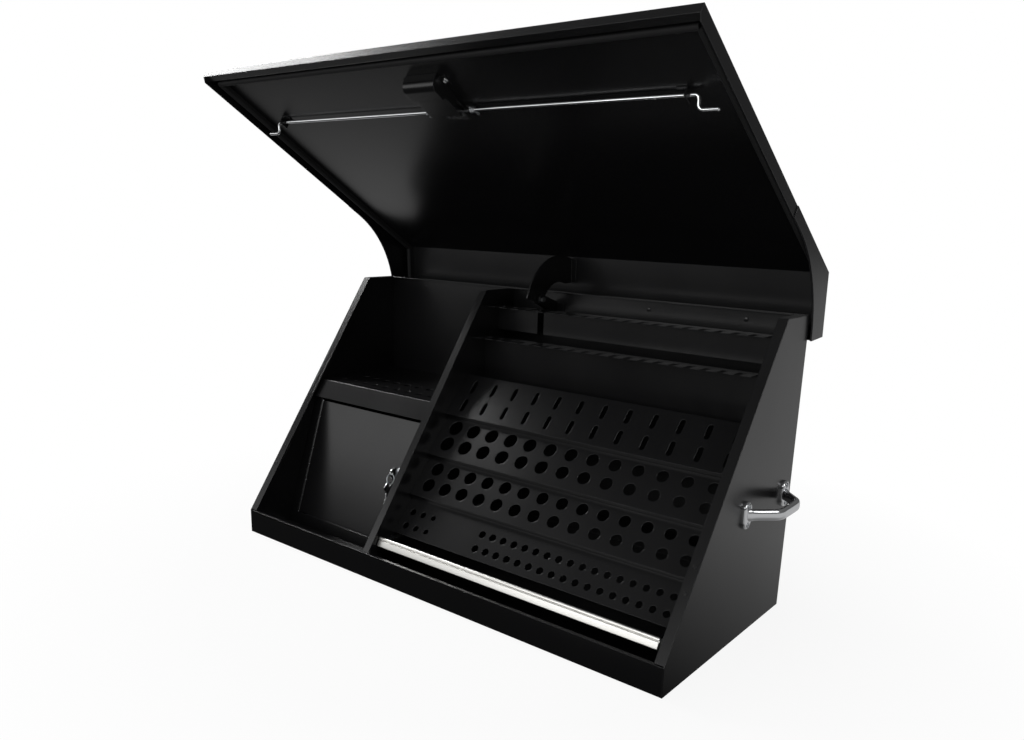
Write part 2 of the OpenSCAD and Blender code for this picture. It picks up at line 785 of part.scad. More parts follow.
module right_cheek() color(steel) lid_pose() translate([lid_half, 0, 0]) cheek();

// Section of the bulb seal, hanging down from the plane Y = 0
module seal_section() {
    seal_lap = 0.5;
    translate([-seal_w / 2, -seal_h + seal_w / 2]) square([seal_w, seal_h - seal_w / 2]);
    translate([0, -seal_h + seal_w / 2]) intersection() {
        circle(seal_w / 2);
        translate([-seal_w / 2, -seal_w / 2]) square([seal_w, seal_w / 2 + seal_lap]);
    }
}

module lid_seal() color(rubber) lid_pose() {
    front_u = 6;
    end_gap = 1;
    glue = 2 * touch;
    bend_in_u = (lid_top_z - sheet - lip_h - (lid_gap - sheet) * cos(slope)) / sin(slope);
    side_l = bend_in_u - end_gap - front_u;
    rear_y = back_y - rim_w / 2;
    rear_l = rear_y - bend_in[0] - end_gap;
    slope_pose() translate([0, front_u, lid_gap - sheet - glue]) {
        for (x = [-seal_x, seal_x]) translate([x, side_l, 0]) rotate([90, 0, 0])
            linear_extrude(side_l) seal_section();
        translate([-seal_x, 0, 0]) rotate([90, 0, 90]) linear_extrude(2 * seal_x) seal_section();
    }
    translate([0, rear_y, lid_top_z - sheet - glue]) {
        for (x = [-seal_x, seal_x]) translate([x, 0, 0]) rotate([90, 0, 0])
            linear_extrude(rear_l) seal_section();
        translate([-seal_x, 0, 0]) rotate([90, 0, 90]) linear_extrude(2 * seal_x) seal_section();
    }
}

// Hinge between the back wall and the rear flange of the lid

module rivet_holes() {
    for (x = rivet_xs) translate([x, back_y - 3 * sheet, rivet_z]) rotate([-90, 0, 0])
        cylinder(h = 6 * sheet, r = rivet_r + 0.05);
}

// One leaf: side -1 seats on the back wall, side 1 on the rear flange
module hinge_leaf(first, side) {
    inner = pin_back - leaf_t;
    leaf_y = side < 0 ? -pin_back : inner;
    difference() {
        union() {
            translate([-hinge_half, 0, 0]) rotate([0, 90, 0]) {
                knuckles(hinge_knuckles, 2 * hinge_half, knuckle_r, pin_r + pin_clear, first);
                translate([-pin_drop - 1, leaf_y, 0])
                    knuckle_tabs(hinge_knuckles, 2 * hinge_half, first, [pin_drop + 1, leaf_t]);
            }
            translate([-hinge_half, leaf_y, pin_drop]) cube([2 * hinge_half, leaf_t, leaf_h]);
        }
        translate([-hinge_half - 1, 0, 0]) rotate([0, 90, 0])
            cylinder(h = 2 * hinge_half + 2, r = pin_r + pin_clear);
    }
}

module hinge_case_leaf() color(steel) difference() {
    translate([0, pin_y, pin_z]) hinge_leaf(0, -1);
    rivet_holes();
}

module hinge_lid_leaf() color(steel) lid_pose() translate([0, pin_y, pin_z]) hinge_leaf(1, 1);

module hinge_pin() color(zinc) translate([-hinge_half - 2, pin_y, pin_z]) rotate([0, 90, 0])
    cylinder(h = 2 * hinge_half + 4, r = pin_r);

module hinge_rivets() color(steel) for (x = rivet_xs) translate([x, back_y + leaf_t, rivet_z])
    rotate([90, 0, 0]) {
        translate([0, 0, -1.4]) cylinder(h = 1.4, r1 = rivet_r + 0.6, r2 = rivet_r + 2);
        translate([0, 0, -touch]) cylinder(h = leaf_t + sheet + 2 * touch, r = rivet_r);
        translate([0, 0, leaf_t + sheet]) cylinder(h = 1.2, r = rivet_r + 1.5);
    }

// Lid stay: a quadrant on the lid runs between two friction pads on the case

// A point at radius r and angle a about the hinge pin, as [y, z]
function about_pin(r, a) = [pin_y + r * cos(a), pin_z + r * sin(a)];

module stay_quadrant() color(steel) lid_pose() {
    steps = 24;
    seat_z = lid_top_z - sheet;
    tip = about_pin(stay_r, stay_from);
    heel = about_pin(stay_inner_r, stay_from);
    arc = [for (i = [0:steps]) stay_from + (stay_to - stay_from) * i / steps];
    translate([stay_x - stay_t / 2, 0, 0]) along_x(stay_t) polygon(concat(
        [[tip[0], seat_z]], [for (a = arc) about_pin(stay_r, a)],
        [for (i = [steps:-1:0]) about_pin(stay_inner_r, arc[i])], [[heel[0], seat_z]]));
    translate([stay_x - stay_foot_w / 2, tip[0], seat_z - stay_foot_t])
        cube([stay_foot_w, heel[0] - tip[0], stay_foot_t]);
}

module stay_clamp() color(steel) {
    cheek_x = stay_t / 2 + pad_clear + pad_t;
    for (side = [-1, 1]) translate([stay_x, 0, 0]) mirror([side < 0 ? 1 : 0, 0, 0]) {
        difference() {
            translate([cheek_x, 0, 0]) along_x(2) {
                translate(stay_pad) circle(pad_r + 1);
                polygon([
                    stay_pad + [0, pad_r + 1], stay_pad - [0, pad_r + 1],
                    [back_y - sheet, stay_pad[1] - 34], [back_y - sheet, stay_pad[1] - 8]]);
            }
            translate([0, stay_pad[0], stay_pad[1]]) rotate([0, 90, 0]) cylinder(h = 30, r = rivet_r + 0.1);
        }
        translate([cheek_x, back_y - sheet - 2, stay_pad[1] - 34]) cube([16, 2, 26]);
    }
}

module stay_pads() color(rubber) for (side = [-1, 1]) translate([stay_x, stay_pad[0], stay_pad[1]])
    rotate([0, side * 90, 0]) translate([0, 0, stay_t / 2 + pad_clear]) tube(pad_t, pad_r, rivet_r + 0.1);

module stay_bolt() color(zinc) translate([stay_x, stay_pad[0], stay_pad[1]]) rotate([0, 90, 0]) {
    reach = stay_t / 2 + pad_clear + pad_t + 2;
    for (side = [-1, 1]) mirror([0, 0, side < 0 ? 1 : 0]) {
        translate([0, 0, reach]) cylinder(h = 3.5, r = 5, $fn = 6);
        translate([0, 0, stay_t / 2 + pad_clear]) cylinder(h = pad_t + 2 + touch, r = rivet_r);
    }
}

// Latch

function keeper_screw_us() = [rod_up - 8, rod_up + 30];

module keeper(side) {
    mirror([side < 0 ? 1 : 0, 0, 0]) slope_pose() difference() {
        translate([0, rod_up + 38, 0]) rotate([90, 0, 0]) linear_extrude(54) {
            translate([case_w / 2 - rim_w + 0.5, -2 * sheet]) square([rim_w - sheet - 1, sheet]);
            translate([wall_x - 0.5 - sheet, keeper_n]) square([sheet, -keeper_n - sheet]);
            translate([case_w / 2 - rim_w + 2, keeper_n]) square([rim_w - sheet - 2.5, sheet]);
        }
        for (u = keeper_screw_us()) translate([seal_x, u, -3 * sheet]) cylinder(h = 2 * sheet, r = screw_r);
    }
}

module left_keeper() color(steel) keeper(-1);

module right_keeper() color(steel) keeper(1);

module keeper_screws() color(steel) for (side = [-1, 1], u = keeper_screw_us())
    slope_pose() translate([side * seal_x, u, 0]) {
        cylinder(h = 0.4, r = keeper_head_r);
        translate([0, 0, -2 * sheet - 1]) cylinder(h = 2 * sheet + 1 + touch, r = screw_r - 0.05);
    }

// Section of the housing over the crank: a round nose, a step, and an open back
module housing_section(inset, past) {
    floor_n = lid_gap - housing_d;
    roof_n = lid_gap - sheet + past;
    step_in = housing_step_u - inset * 0.535;
    polygon(concat(
        [[housing_back + past, roof_n], [-housing_front + inset, roof_n]],
        [for (a = [180:7.5:270]) [-housing_front + housing_r, floor_n + housing_r]
            + (housing_r - inset) * [cos(a), sin(a)]],
        [[step_in, floor_n + inset], [step_in + housing_step / 1.5, floor_n + housing_step + inset],
         [housing_back + past, floor_n + housing_step + inset]]));
}

module latch_housing() color(steel) latch_pose() difference() {
    union() {
        translate([-housing_x, 0, 0]) along_x(2 * housing_x) housing_section(0, 0);
        for (side = [-1, 1]) translate([side > 0 ? housing_x - touch : -housing_x - foot_w,
            -housing_front + foot_from, lid_gap - 2 * sheet]) cube([foot_w + touch, foot_l, sheet]);
    }
    translate([-housing_x + sheet, 0, 0]) along_x(2 * (housing_x - sheet)) housing_section(sheet, 1);
    translate([-housing_x - 1, -fork_out - fork_room, rod_n - yoke_t / 2 - fork_room])
        cube([2 * housing_x + 2, fork_out + fork_room, yoke_t + 2 * fork_room]);
    for (p = housing_screws()) translate([p[0], p[1], 0]) cylinder(h = lid_gap, r = screw_r);
}

function housing_screws() = [for (side = [-1, 1])
    [side * (housing_x + foot_w / 2 + 0.5), foot_from + foot_l / 2 - housing_front]];

module latch_screws() color(chrome) latch_pose() for (p = housing_screws())
    translate([p[0], p[1], lid_gap - 2 * sheet]) {
        translate([0, 0, -2.2]) cylinder(h = 2.2, r1 = screw_head_r - 1.6, r2 = screw_head_r);
        translate([0, 0, -touch]) cylinder(h = sheet + touch, r = screw_r - 0.05);
    }

module latch_rose() color(chrome) latch_pose() translate([0, 0, lid_gap]) difference() {
    union() {
        cylinder(h = rose_t - 1, r = rose_r);
        translate([0, 0, rose_t - 1]) cylinder(h = 1, r1 = rose_r, r2 = rose_r - 1.5);
    }
    translate([0, 0, -1]) cylinder(h = rose_t + 2, r = spindle_r + pin_clear);
}

module latch_handle() color(chrome) latch_pose() difference() {
    hub_n = lid_gap + rose_t + 0.3;
    union() {
        translate([0, 0, crank_n + crank_t + 0.4]) cylinder(h = hub_n - crank_n - crank_t, r = spindle_r);
        translate([0, 0, crank_n]) cylinder(h = crank_t + 1, r = crank_stub_r);
        translate([0, 0, hub_n]) cylinder(h = hub_h - 3, r = hub_r);
        translate([0, 0, hub_n + hub_h - 3]) cylinder(h = 3, r1 = hub_r, r2 = hub_r - 2.5);
        for (side = [-1, 1]) translate([0, side * hub_r * 0.6, hub_n + hub_h / 2]) rotate([-side * 90, 0, 0]) {
            cylinder(h = grip_l / 2 - hub_r * 0.6, r1 = grip_r + 0.8, r2 = grip_r - 1);
            translate([0, 0, grip_l / 2 - hub_r * 0.6]) sphere(grip_r - 1);
        }
    }
    translate([0, 0, hub_n + 2]) cylinder(h = hub_h, r = latch_plug_r + pin_clear);
}

module latch_plug() color(zinc) latch_pose() translate([0, 0, lid_gap + rose_t + 2.4]) difference() {
    cylinder(h = hub_h - 2, r = latch_plug_r);
    translate([-1, -3.2, hub_h - 9]) cube([2, 6.4, 10]);
}

// The crank turns with the handle, and its two pins push the rods apart
module latch_crank() color(zinc) latch_pose() translate([0, 0, crank_n]) rotate(crank_rest) difference() {
    linear_extrude(crank_t) rotate(90) stadium(2 * crank_arm, push_pin_r + 3);
    translate([0, 0, -1]) cylinder(h = crank_t + 2, r = crank_stub_r + pin_clear);
    for (side = [-1, 1]) translate([0, side * crank_arm, -1]) cylinder(h = crank_t + 2, r = push_pin_r + pin_clear);
}

module crank_pins() color(chrome) latch_pose() rotate(crank_rest) for (side = [-1, 1])
    translate([0, side * crank_arm, rod_n - yoke_t / 2 - 0.5])
        cylinder(h = crank_n + crank_t - rod_n + yoke_t / 2 + 0.5, r = push_pin_r);

// A rod drawn for the right: a forked end on its crank pin, a bar, and a cranked tip.
// The tip leans to the hinge by lean degrees
module latch_rod(lean) {
    pin_at = -crank_arm * sin(crank_rest);
    pin_side = crank_arm * cos(crank_rest);
    fork_in = pin_side - push_pin_r - 0.6;
    bar_from = pin_at + yoke_l;
    drop = norm([rod_tip_u, rod_n - rod_tip_n]);
    translate([0, 0, rod_n - yoke_t / 2]) difference() {
        union() {
            translate([pin_at - push_pin_r - 4.5, fork_in, 0])
                cube([yoke_l + push_pin_r + 10.5, fork_out - fork_in, yoke_t]);
            translate([bar_from, -rod_r, 0]) cube([6, fork_in + rod_r + 1, yoke_t]);
        }
        translate([pin_at - push_pin_r - yoke_slack, fork_in - 1, -1])
            cube([2 * (push_pin_r + yoke_slack), crank_arm + push_pin_r + 1.6 - fork_in, yoke_t + 2]);
    }
    translate([0, 0, rod_n]) rotate([lean, 0, 0]) {
        translate([bar_from, 0, 0]) rotate([0, 90, 0])
            cylinder(h = rod_bend_x - rod_bend_r - bar_from, r = rod_r);
        translate([rod_bend_x - rod_bend_r, 0, -rod_bend_r]) rod_bend(0);
        translate([rod_bend_x, 0, rod_bend_r - drop]) cylinder(h = drop - 2 * rod_bend_r, r = rod_r);
        translate([rod_bend_x + rod_bend_r, 0, rod_bend_r - drop]) rod_bend(180);
        translate([rod_bend_x + rod_bend_r, 0, -drop]) rotate([0, 90, 0]) {
            cylinder(h = rod_tip_l - rod_bend_r - 2, r = rod_r);
            translate([0, 0, rod_tip_l - rod_bend_r - 2]) cylinder(h = 2, r1 = rod_r, r2 = rod_r - 1);
        }
    }
}

// A quarter bend of a rod in the XZ plane, from angle a; it runs a little into the straight bars
module rod_bend(a) {
    rotate([90, 0, 0]) rotate(a - 2) rotate_extrude(angle = 94) translate([rod_bend_r, 0]) circle(rod_r - 0.1);
}

rod_lean = atan2(rod_tip_u, rod_n - rod_tip_n);

module right_rod() color(chrome) latch_pose() latch_rod(rod_lean);

module left_rod() color(chrome) latch_pose() rotate(180) latch_rod(-rod_lean);

module rod_guides() color(steel) latch_pose() for (side = [-1, 1]) mirror([side < 0 ? 1 : 0, 0, 0]) {
    guide_n = rod_n - rod_r - guide_edge;
    difference() {
        translate([guide_x, -guide_l / 2, guide_n]) cube([guide_t, guide_l, lid_gap - sheet - guide_n]);
        translate([guide_x - 1, 0, rod_n]) rotate([0, 90, 0])
            cylinder(h = guide_t + 2, r = rod_r + 2 * pin_clear);
    }
    translate([guide_x - guide_foot, -guide_l / 2, lid_gap - 2 * sheet])
        cube([guide_foot + touch, guide_l, sheet]);
}

// Side handles

// A bar of the handle's section, from the origin along local Y
module handle_bar(length) {
    rotate([-90, 0, 0]) linear_extrude(length) rotate(90) stadium(bar_h - bar_t, bar_t / 2);
}

// One half of the arched bar, from the middle of the grip to a pad
module handle_half() {
    half = handle_span / 2;
    leg_y = leg_l * cos(45);
    bend_y = half - leg_y - bar_bend_r * sin(45);
    translate([handle_out, 0, 0]) handle_bar(bend_y);
    translate([handle_out - bar_bend_r, bend_y, 0]) rotate(-2) rotate_extrude(angle = 49)
        translate([bar_bend_r, 0]) rotate(90) stadium(bar_h - bar_t, bar_t / 2 - 0.15);
    translate([0, half, 0]) rotate([0, 0, -135]) translate([0, -bar_t / 2, 0])
        handle_bar(leg_l + bar_t / 2);
}

module handle_screw_places() {
    for (end = [-1, 1], up = [-1, 1])
        translate([0, handle_back + end * handle_span / 2, handle_up + up * screw_pitch / 2]) children();
}

module side_handle(side) {
    mirror([side < 0 ? 1 : 0, 0, 0]) difference() {
        translate([case_w / 2, handle_back, handle_up]) {
            for (end = [0, 1]) mirror([0, end, 0]) {
                intersection() {
                    handle_half();
                    translate([0, -1, -pad_h]) cube([100, handle_span, 2 * pad_h]);
                }
                translate([0, handle_span / 2, 0]) rotate([0, 90, 0]) linear_extrude(handle_pad_t)
                    stadium(pad_h - pad_w, pad_w / 2);
            }
        }
        handle_screw_places() translate([case_w / 2 - 1, 0, 0]) rotate([0, 90, 0])
            cylinder(h = handle_pad_t + 2, r = screw_r);
    }
}

module left_handle() color(chrome) side_handle(-1);

module right_handle() color(chrome) side_handle(1);

module handle_screws() color(zinc) for (side = [-1, 1]) mirror([side < 0 ? 1 : 0, 0, 0])
    handle_screw_places() translate([case_w / 2, 0, 0]) rotate([0, 90, 0]) {
        cylinder(h = handle_pad_t + touch, r = screw_r - 0.05);
        translate([0, 0, handle_pad_t]) cylinder(h = 1.8, r1 = screw_head_r - 0.6, r2 = screw_head_r - 2);
    }

left_side();
right_side();
back_panel();
floor_panel();
front_lip();
partition();
bin_shelf();
locker_frame();
lower_tier();
middle_tier();
upper_tier();
slotted_tier();
lower_rack();
upper_rack();
left_channel();
right_channel();
channel_bracket();
hinge_case_leaf();
hinge_pin();
hinge_rivets();
stay_clamp();
stay_pads();
stay_bolt();
left_handle();
right_handle();
handle_screws();
left_keeper();
right_keeper();
keeper_screws();
locker_case_leaf();
locker_hinge_pin();
lid_shell();
left_cheek();
right_cheek();
lid_seal();
hinge_lid_leaf();
stay_quadrant();
latch_housing();
latch_rose();
rod_guides();
latch_screws();
latch_handle();
latch_crank();
crank_pins();
latch_plug();
left_rod();
right_rod();
drawer_tray();
drawer_pull();
left_rail();
right_rail();
locker_door();
locker_door_leaf();
lock_barrel();
lock_nut();
lock_plug();
lock_cam();
lock_key();
key_ring();
spare_key();
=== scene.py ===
"""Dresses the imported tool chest: finishes for its steel, chrome, zinc, alloy and rubber, cast handles,
screws, rivets, keys, rod clips and the drawer pull worked out with numpy, and a white studio."""

import json

import bmesh
import bpy
import numpy as np
from bpy.props import FloatProperty, FloatVectorProperty, PointerProperty
from bpy.types import Operator, Panel, PropertyGroup
from mathutils import Matrix, Vector


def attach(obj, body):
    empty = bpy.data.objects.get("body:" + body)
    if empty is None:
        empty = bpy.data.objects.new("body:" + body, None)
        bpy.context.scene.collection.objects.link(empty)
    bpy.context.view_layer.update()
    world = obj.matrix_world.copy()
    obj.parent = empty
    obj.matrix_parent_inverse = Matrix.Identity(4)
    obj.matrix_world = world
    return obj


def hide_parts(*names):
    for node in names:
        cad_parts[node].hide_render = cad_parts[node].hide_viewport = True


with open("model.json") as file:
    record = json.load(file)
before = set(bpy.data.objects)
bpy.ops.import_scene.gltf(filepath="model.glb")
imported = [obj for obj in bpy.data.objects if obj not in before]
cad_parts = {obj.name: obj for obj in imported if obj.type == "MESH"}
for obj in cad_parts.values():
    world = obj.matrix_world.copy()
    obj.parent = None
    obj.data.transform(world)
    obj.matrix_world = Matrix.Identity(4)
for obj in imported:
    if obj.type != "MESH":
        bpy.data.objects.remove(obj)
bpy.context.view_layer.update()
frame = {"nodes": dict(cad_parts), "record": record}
JOINTS = {joint["name"]: joint for joint in frame["record"]["behaviour"]["joints"]}

bl_info = {
    "name": "Triangle Tool Chest",
    "version": (1, 0, 0),
    "blender": (4, 5, 0),
    "location": "View3D > Sidebar > Tool Chest",
    "description": "Finishes, handles, screws, rivets, keys, drawer pull and studio of a steel tool chest",
    "category": "Object",
}

MM = 0.001


def linear(text):
    """Turns an sRGB hex colour to linear red, green and blue."""
    srgb = np.array([int(text[i:i + 2], 16) for i in (1, 3, 5)]) / 255.0
    low = srgb / 12.92
    high = ((srgb + 0.055) / 1.055) ** 2.4
    return tuple(float(v) for v in np.where(srgb <= 0.04045, low, high))


def colour(name, words, text):
    """A colour property whose default is an sRGB hex value."""
    return FloatVectorProperty(name=name, description=words, subtype="COLOR", size=3,
                               min=0.0, max=1.0, default=linear(text))


def length(name, words, millimetres):
    """A length property whose default is in millimetres."""
    return FloatProperty(name=name, description=words, subtype="DISTANCE", unit="LENGTH",
                         default=millimetres * MM)


class ChestColours(PropertyGroup):
    """Colours of the finishes."""

    coat: colour("Powder coat", "Black powder coat on the steel sheet", "#121213")
    # The worn coat is the paler tone of a painted highlight along the folds.
    coat_worn: colour("Worn coat", "Powder coat where the folds are rubbed", "#343436")
    chrome: colour("Chrome", "Chrome plate on the handles and latch rods", "#e8e9eb")
    zinc: colour("Zinc", "Bright zinc plate on the screws, slides and lock", "#c3c6c9")
    alloy: colour("Alloy", "Anodised aluminium of the drawer pull", "#e9e8e4")
    rubber: colour("Rubber", "Extruded rubber of the lid seal and stay pads", "#0d0d0e")
    paper: colour("Paper", "White studio paper", "#fafafa")


class ChestSizes(PropertyGroup):
    """Sizes of the pieces that are added to the frame."""

    pad_t: length("Pad", "Thickness of a handle's pad", 6.0)
    grip_t: length("Grip thickness", "Thickness of a handle's bar", 10.0)
    grip_h: length("Grip height", "Height of a handle's bar", 16.0)
    grip_out: length("Grip reach", "Distance of a handle's bar from the wall", 39.0)
    screw_r: length("Screw head", "Radius of a handle screw's head", 4.0)
    screw_dome: length("Screw dome", "Height of a handle screw's head", 1.8)
    recess: length("Recess", "Depth of the cross recess in a screw", 1.1)
    rivet_r: length("Rivet head", "Radius of a hinge rivet's head", 4.4)
    ring_wire: length("Ring wire", "Radius of the wire of the key ring", 0.75)
    ring_r: length("Ring", "Radius of the key ring", 9.0)
    key_t: length("Key", "Thickness of a key", 2.0)
    floor_half: length("Floor", "Half the width of the studio floor", 9000.0)


def add(tree, kind, links=(), **settings):
    """Adds a node, sets its properties or input values by name, and links its inputs."""
    node = tree.nodes.new(kind)
    for key, value in settings.items():
        if key in node.bl_rna.properties:
            setattr(node, key, value)
        else:
            node.inputs[key.replace("_", " ")].default_value = value
    for socket, source in links:
        tree.links.new(source, node.inputs[socket])
    return node


def start_material(name):
    """An empty node material, its tree, and the Object coordinates."""
    material = bpy.data.materials.new(name)
    material.use_nodes = True
    tree = material.node_tree
    tree.nodes.clear()
    place = add(tree, "ShaderNodeTexCoord").outputs["Object"]
    return material, tree, place


def rgba(rgb, share=1.0):
    """A colour for a socket, darkened or lightened by a share."""
    return (rgb[0] * share, rgb[1] * share, rgb[2] * share, 1.0)


def powder_coated_steel(colours):
    """Powder-coated steel sheet: sprayed dry and baked, so it is a deep black with a fine
    orange peel and an even low gloss. Along the folds it is slightly paler: a painted highlight, broken up
    like rubbed wear."""
    material, tree, place = start_material("powder_coated_steel")
    # Orange peel has a grain of about 1.5 mm, drawn at 2.5 mm so that it shows.
    peel = add(tree, "ShaderNodeTexNoise", [("Vector", place)], Scale=1 / (2.5 * MM), Detail=2.0)
    # Bake and handling leave broad patches of about 120 mm.
    patch = add(tree, "ShaderNodeTexNoise", [("Vector", place)], Scale=1 / (120 * MM), Detail=4.0)
    # The painted highlight along the folds breaks up over about 14 mm, like rubbed wear.
    highlight_breakup = add(tree, "ShaderNodeTexNoise", [("Vector", place)], Scale=1 / (14 * MM), Detail=5.0)
    # A fold in this sheet has an outer radius of about 1.6 mm.
    fold = add(tree, "ShaderNodeBevel", samples=4, Radius=1.6 * MM)
    flat = add(tree, "ShaderNodeNewGeometry")
    turn = add(tree, "ShaderNodeVectorMath", [(0, fold.outputs["Normal"]), (1, flat.outputs["Normal"])],
               operation="DOT_PRODUCT")
    # Where the bevel's normal turns away from the flat one, a fold is painted paler as its highlight.
    fold_edges = add(tree, "ShaderNodeMapRange", [("Value", turn.outputs["Value"])], From_Min=0.995, From_Max=0.85)
    edge_highlight_mask = add(tree, "ShaderNodeMath", [(0, fold_edges.outputs["Result"]), (1, highlight_breakup.outputs["Fac"])],
               operation="MULTIPLY")
    base = add(tree, "ShaderNodeMix", [("Factor", edge_highlight_mask.outputs["Value"])], data_type="RGBA")
    base.inputs[6].default_value = rgba(colours.coat)
    base.inputs[7].default_value = rgba(colours.coat_worn)
    rough = add(tree, "ShaderNodeMapRange", [("Value", patch.outputs["Fac"])], To_Min=0.20, To_Max=0.30)
    bump = add(tree, "ShaderNodeBump", [("Height", peel.outputs["Fac"]), ("Normal", fold.outputs["Normal"])],
               Strength=0.10, Distance=0.25 * MM)
    shader = add(tree, "ShaderNodeBsdfPrincipled",
                 [("Base Color", base.outputs[2]), ("Roughness", rough.outputs["Result"]),
                  ("Normal", bump.outputs["Normal"])], IOR=1.5, Specular_IOR_Level=0.5)
    add(tree, "ShaderNodeOutputMaterial", [("Surface", shader.outputs["BSDF"])])
    return material


def polished_chrome_plate(colours):
    """Decorative chrome on polished steel: a mirror with faint buffing haze and finger marks."""
    material, tree, place = start_material("polished_chrome_plate")
    # Finger marks are about 12 mm across.
    marks = add(tree, "ShaderNodeTexNoise", [("Vector", place)], Scale=1 / (12 * MM), Detail=3.0)
    rough = add(tree, "ShaderNodeMapRange", [("Value", marks.outputs["Fac"])], To_Min=0.10, To_Max=0.20)
    shader = add(tree, "ShaderNodeBsdfPrincipled", [("Roughness", rough.outputs["Result"])],
                 Metallic=1.0, Base_Color=rgba(colours.chrome))
    add(tree, "ShaderNodeOutputMaterial", [("Surface", shader.outputs["BSDF"])])
    return material


def bright_zinc_plate(colours):
    """Bright zinc plate: dipped and passivated, so it is a cool silver with a faint spangle."""
    material, tree, place = start_material("bright_zinc_plate")
    # The spangle of a thin plate is about 3 mm.
    spangle = add(tree, "ShaderNodeTexVoronoi", [("Vector", place)], Scale=1 / (3 * MM))
    tone = add(tree, "ShaderNodeMix", [("Factor", spangle.outputs["Distance"])], data_type="RGBA")
    tone.inputs[6].default_value = rgba(colours.zinc)
    tone.inputs[7].default_value = rgba(colours.zinc, 0.8)
    rough = add(tree, "ShaderNodeMapRange", [("Value", spangle.outputs["Distance"])],
                To_Min=0.22, To_Max=0.36)
    shader = add(tree, "ShaderNodeBsdfPrincipled",
                 [("Base Color", tone.outputs[2]), ("Roughness", rough.outputs["Result"])], Metallic=1.0)
    add(tree, "ShaderNodeOutputMaterial", [("Surface", shader.outputs["BSDF"])])
    return material


def brushed_anodised_aluminium(colours):
    """Extruded aluminium, brushed along its length and anodised clear: fine streaks along X."""
    material, tree, place = start_material("brushed_anodised_aluminium")
    # Brush lines are about 0.3 mm apart and 150 mm long, drawn at 0.9 mm so that they show.
    fine = 1 / (0.9 * MM)
    stretch = add(tree, "ShaderNodeMapping", [("Vector", place)], Scale=(1 / 0.15, fine, fine))
    streak = add(tree, "ShaderNodeTexNoise", [("Vector", stretch.outputs["Vector"])], Scale=1.0, Detail=3.0)
    tone = add(tree, "ShaderNodeMix", [("Factor", streak.outputs["Fac"])], data_type="RGBA")
    tone.inputs[6].default_value = rgba(colours.alloy, 0.9)
    tone.inputs[7].default_value = rgba(colours.alloy)
    rough = add(tree, "ShaderNodeMapRange", [("Value", streak.outputs["Fac"])], To_Min=0.30, To_Max=0.44)
    bump = add(tree, "ShaderNodeBump", [("Height", streak.outputs["Fac"])], Strength=0.08, Distance=0.1 * MM)
    shader = add(tree, "ShaderNodeBsdfPrincipled",
                 [("Base Color", tone.outputs[2]), ("Roughness", rough.outputs["Result"]),
                  ("Normal", bump.outputs["Normal"])], Metallic=1.0)
    add(tree, "ShaderNodeOutputMaterial", [("Surface", shader.outputs["BSDF"])])
    return material


def extruded_rubber(colours):
    """Extruded EPDM rubber: matt black with a fine bloom and a slightly uneven skin."""
    material, tree, place = start_material("extruded_rubber")
    # The bloom gathers in patches of about 20 mm over a grain of 1 mm.
    bloom = add(tree, "ShaderNodeTexNoise", [("Vector", place)], Scale=1 / (20 * MM), Detail=4.0)
    grain = add(tree, "ShaderNodeTexNoise", [("Vector", place)], Scale=1 / (1 * MM), Detail=2.0)
    tone = add(tree, "ShaderNodeMix", [("Factor", bloom.outputs["Fac"])], data_type="RGBA")
    tone.inputs[6].default_value = rgba(colours.rubber)
    tone.inputs[7].default_value = rgba(colours.rubber, 2.4)
    bump = add(tree, "ShaderNodeBump", [("Height", grain.outputs["Fac"])], Strength=0.2, Distance=0.2 * MM)
    shader = add(tree, "ShaderNodeBsdfPrincipled",
                 [("Base Color", tone.outputs[2]), ("Normal", bump.outputs["Normal"])], Roughness=0.72)
    add(tree, "ShaderNodeOutputMaterial", [("Surface", shader.outputs["BSDF"])])
    return material


FINISHES = {
    "black_steel": powder_coated_steel,
    "chrome_plate": polished_chrome_plate,
    "zinc_plate": bright_zinc_plate,
    "alloy": brushed_anodised_aluminium,
    "seal_rubber": extruded_rubber,
}


def finish(slot):
    """The material of one of the record's slots, made when it is first asked for."""
    maker = FINISHES[slot]
    return bpy.data.materials.get(maker.__name__) or maker(bpy.context.scene.chest_colours)


def grid_faces(rows, columns, wrap_rows=False):
    """Quads of a grid of rows by columns points, closed round the columns."""
    i, j = np.meshgrid(np.arange(rows if wrap_rows else rows - 1), np.arange(columns), indexing="ij")
    below = (i + 1) % rows
    beside = (j + 1) % columns
    quads = np.stack([i * columns + j, i * columns + beside,
                      below * columns + beside, below * columns + j], -1)
    return quads.reshape(-1, 4).tolist()


def tube(rings):
    """A closed skin over rings of points, with a flat cap on the first and the last ring."""
    rows, columns = rings.shape[:2]
    faces = grid_faces(rows, columns)
    faces.append(list(range(columns))[::-1])
    faces.append(list(range((rows - 1) * columns, rows * columns)))
    return rings.reshape(-1, 3), faces


def hoop(rings):
    """A closed skin over rings of points, the last ring joined to the first."""
    rows, columns = rings.shape[:2]
    return rings.reshape(-1, 3), grid_faces(rows, columns, wrap_rows=True)


def turned(radius, height, count=48):
    """A profile of radii and heights carried once round the Z axis."""
    angle = np.linspace(0.0, 2.0 * np.pi, count, endpoint=False)
    rings = np.empty((len(radius), count, 3))
    rings[..., 0] = np.outer(radius, np.cos(angle))
    rings[..., 1] = np.outer(radius, np.sin(angle))
    rings[..., 2] = np.asarray(height)[:, None]
    return rings


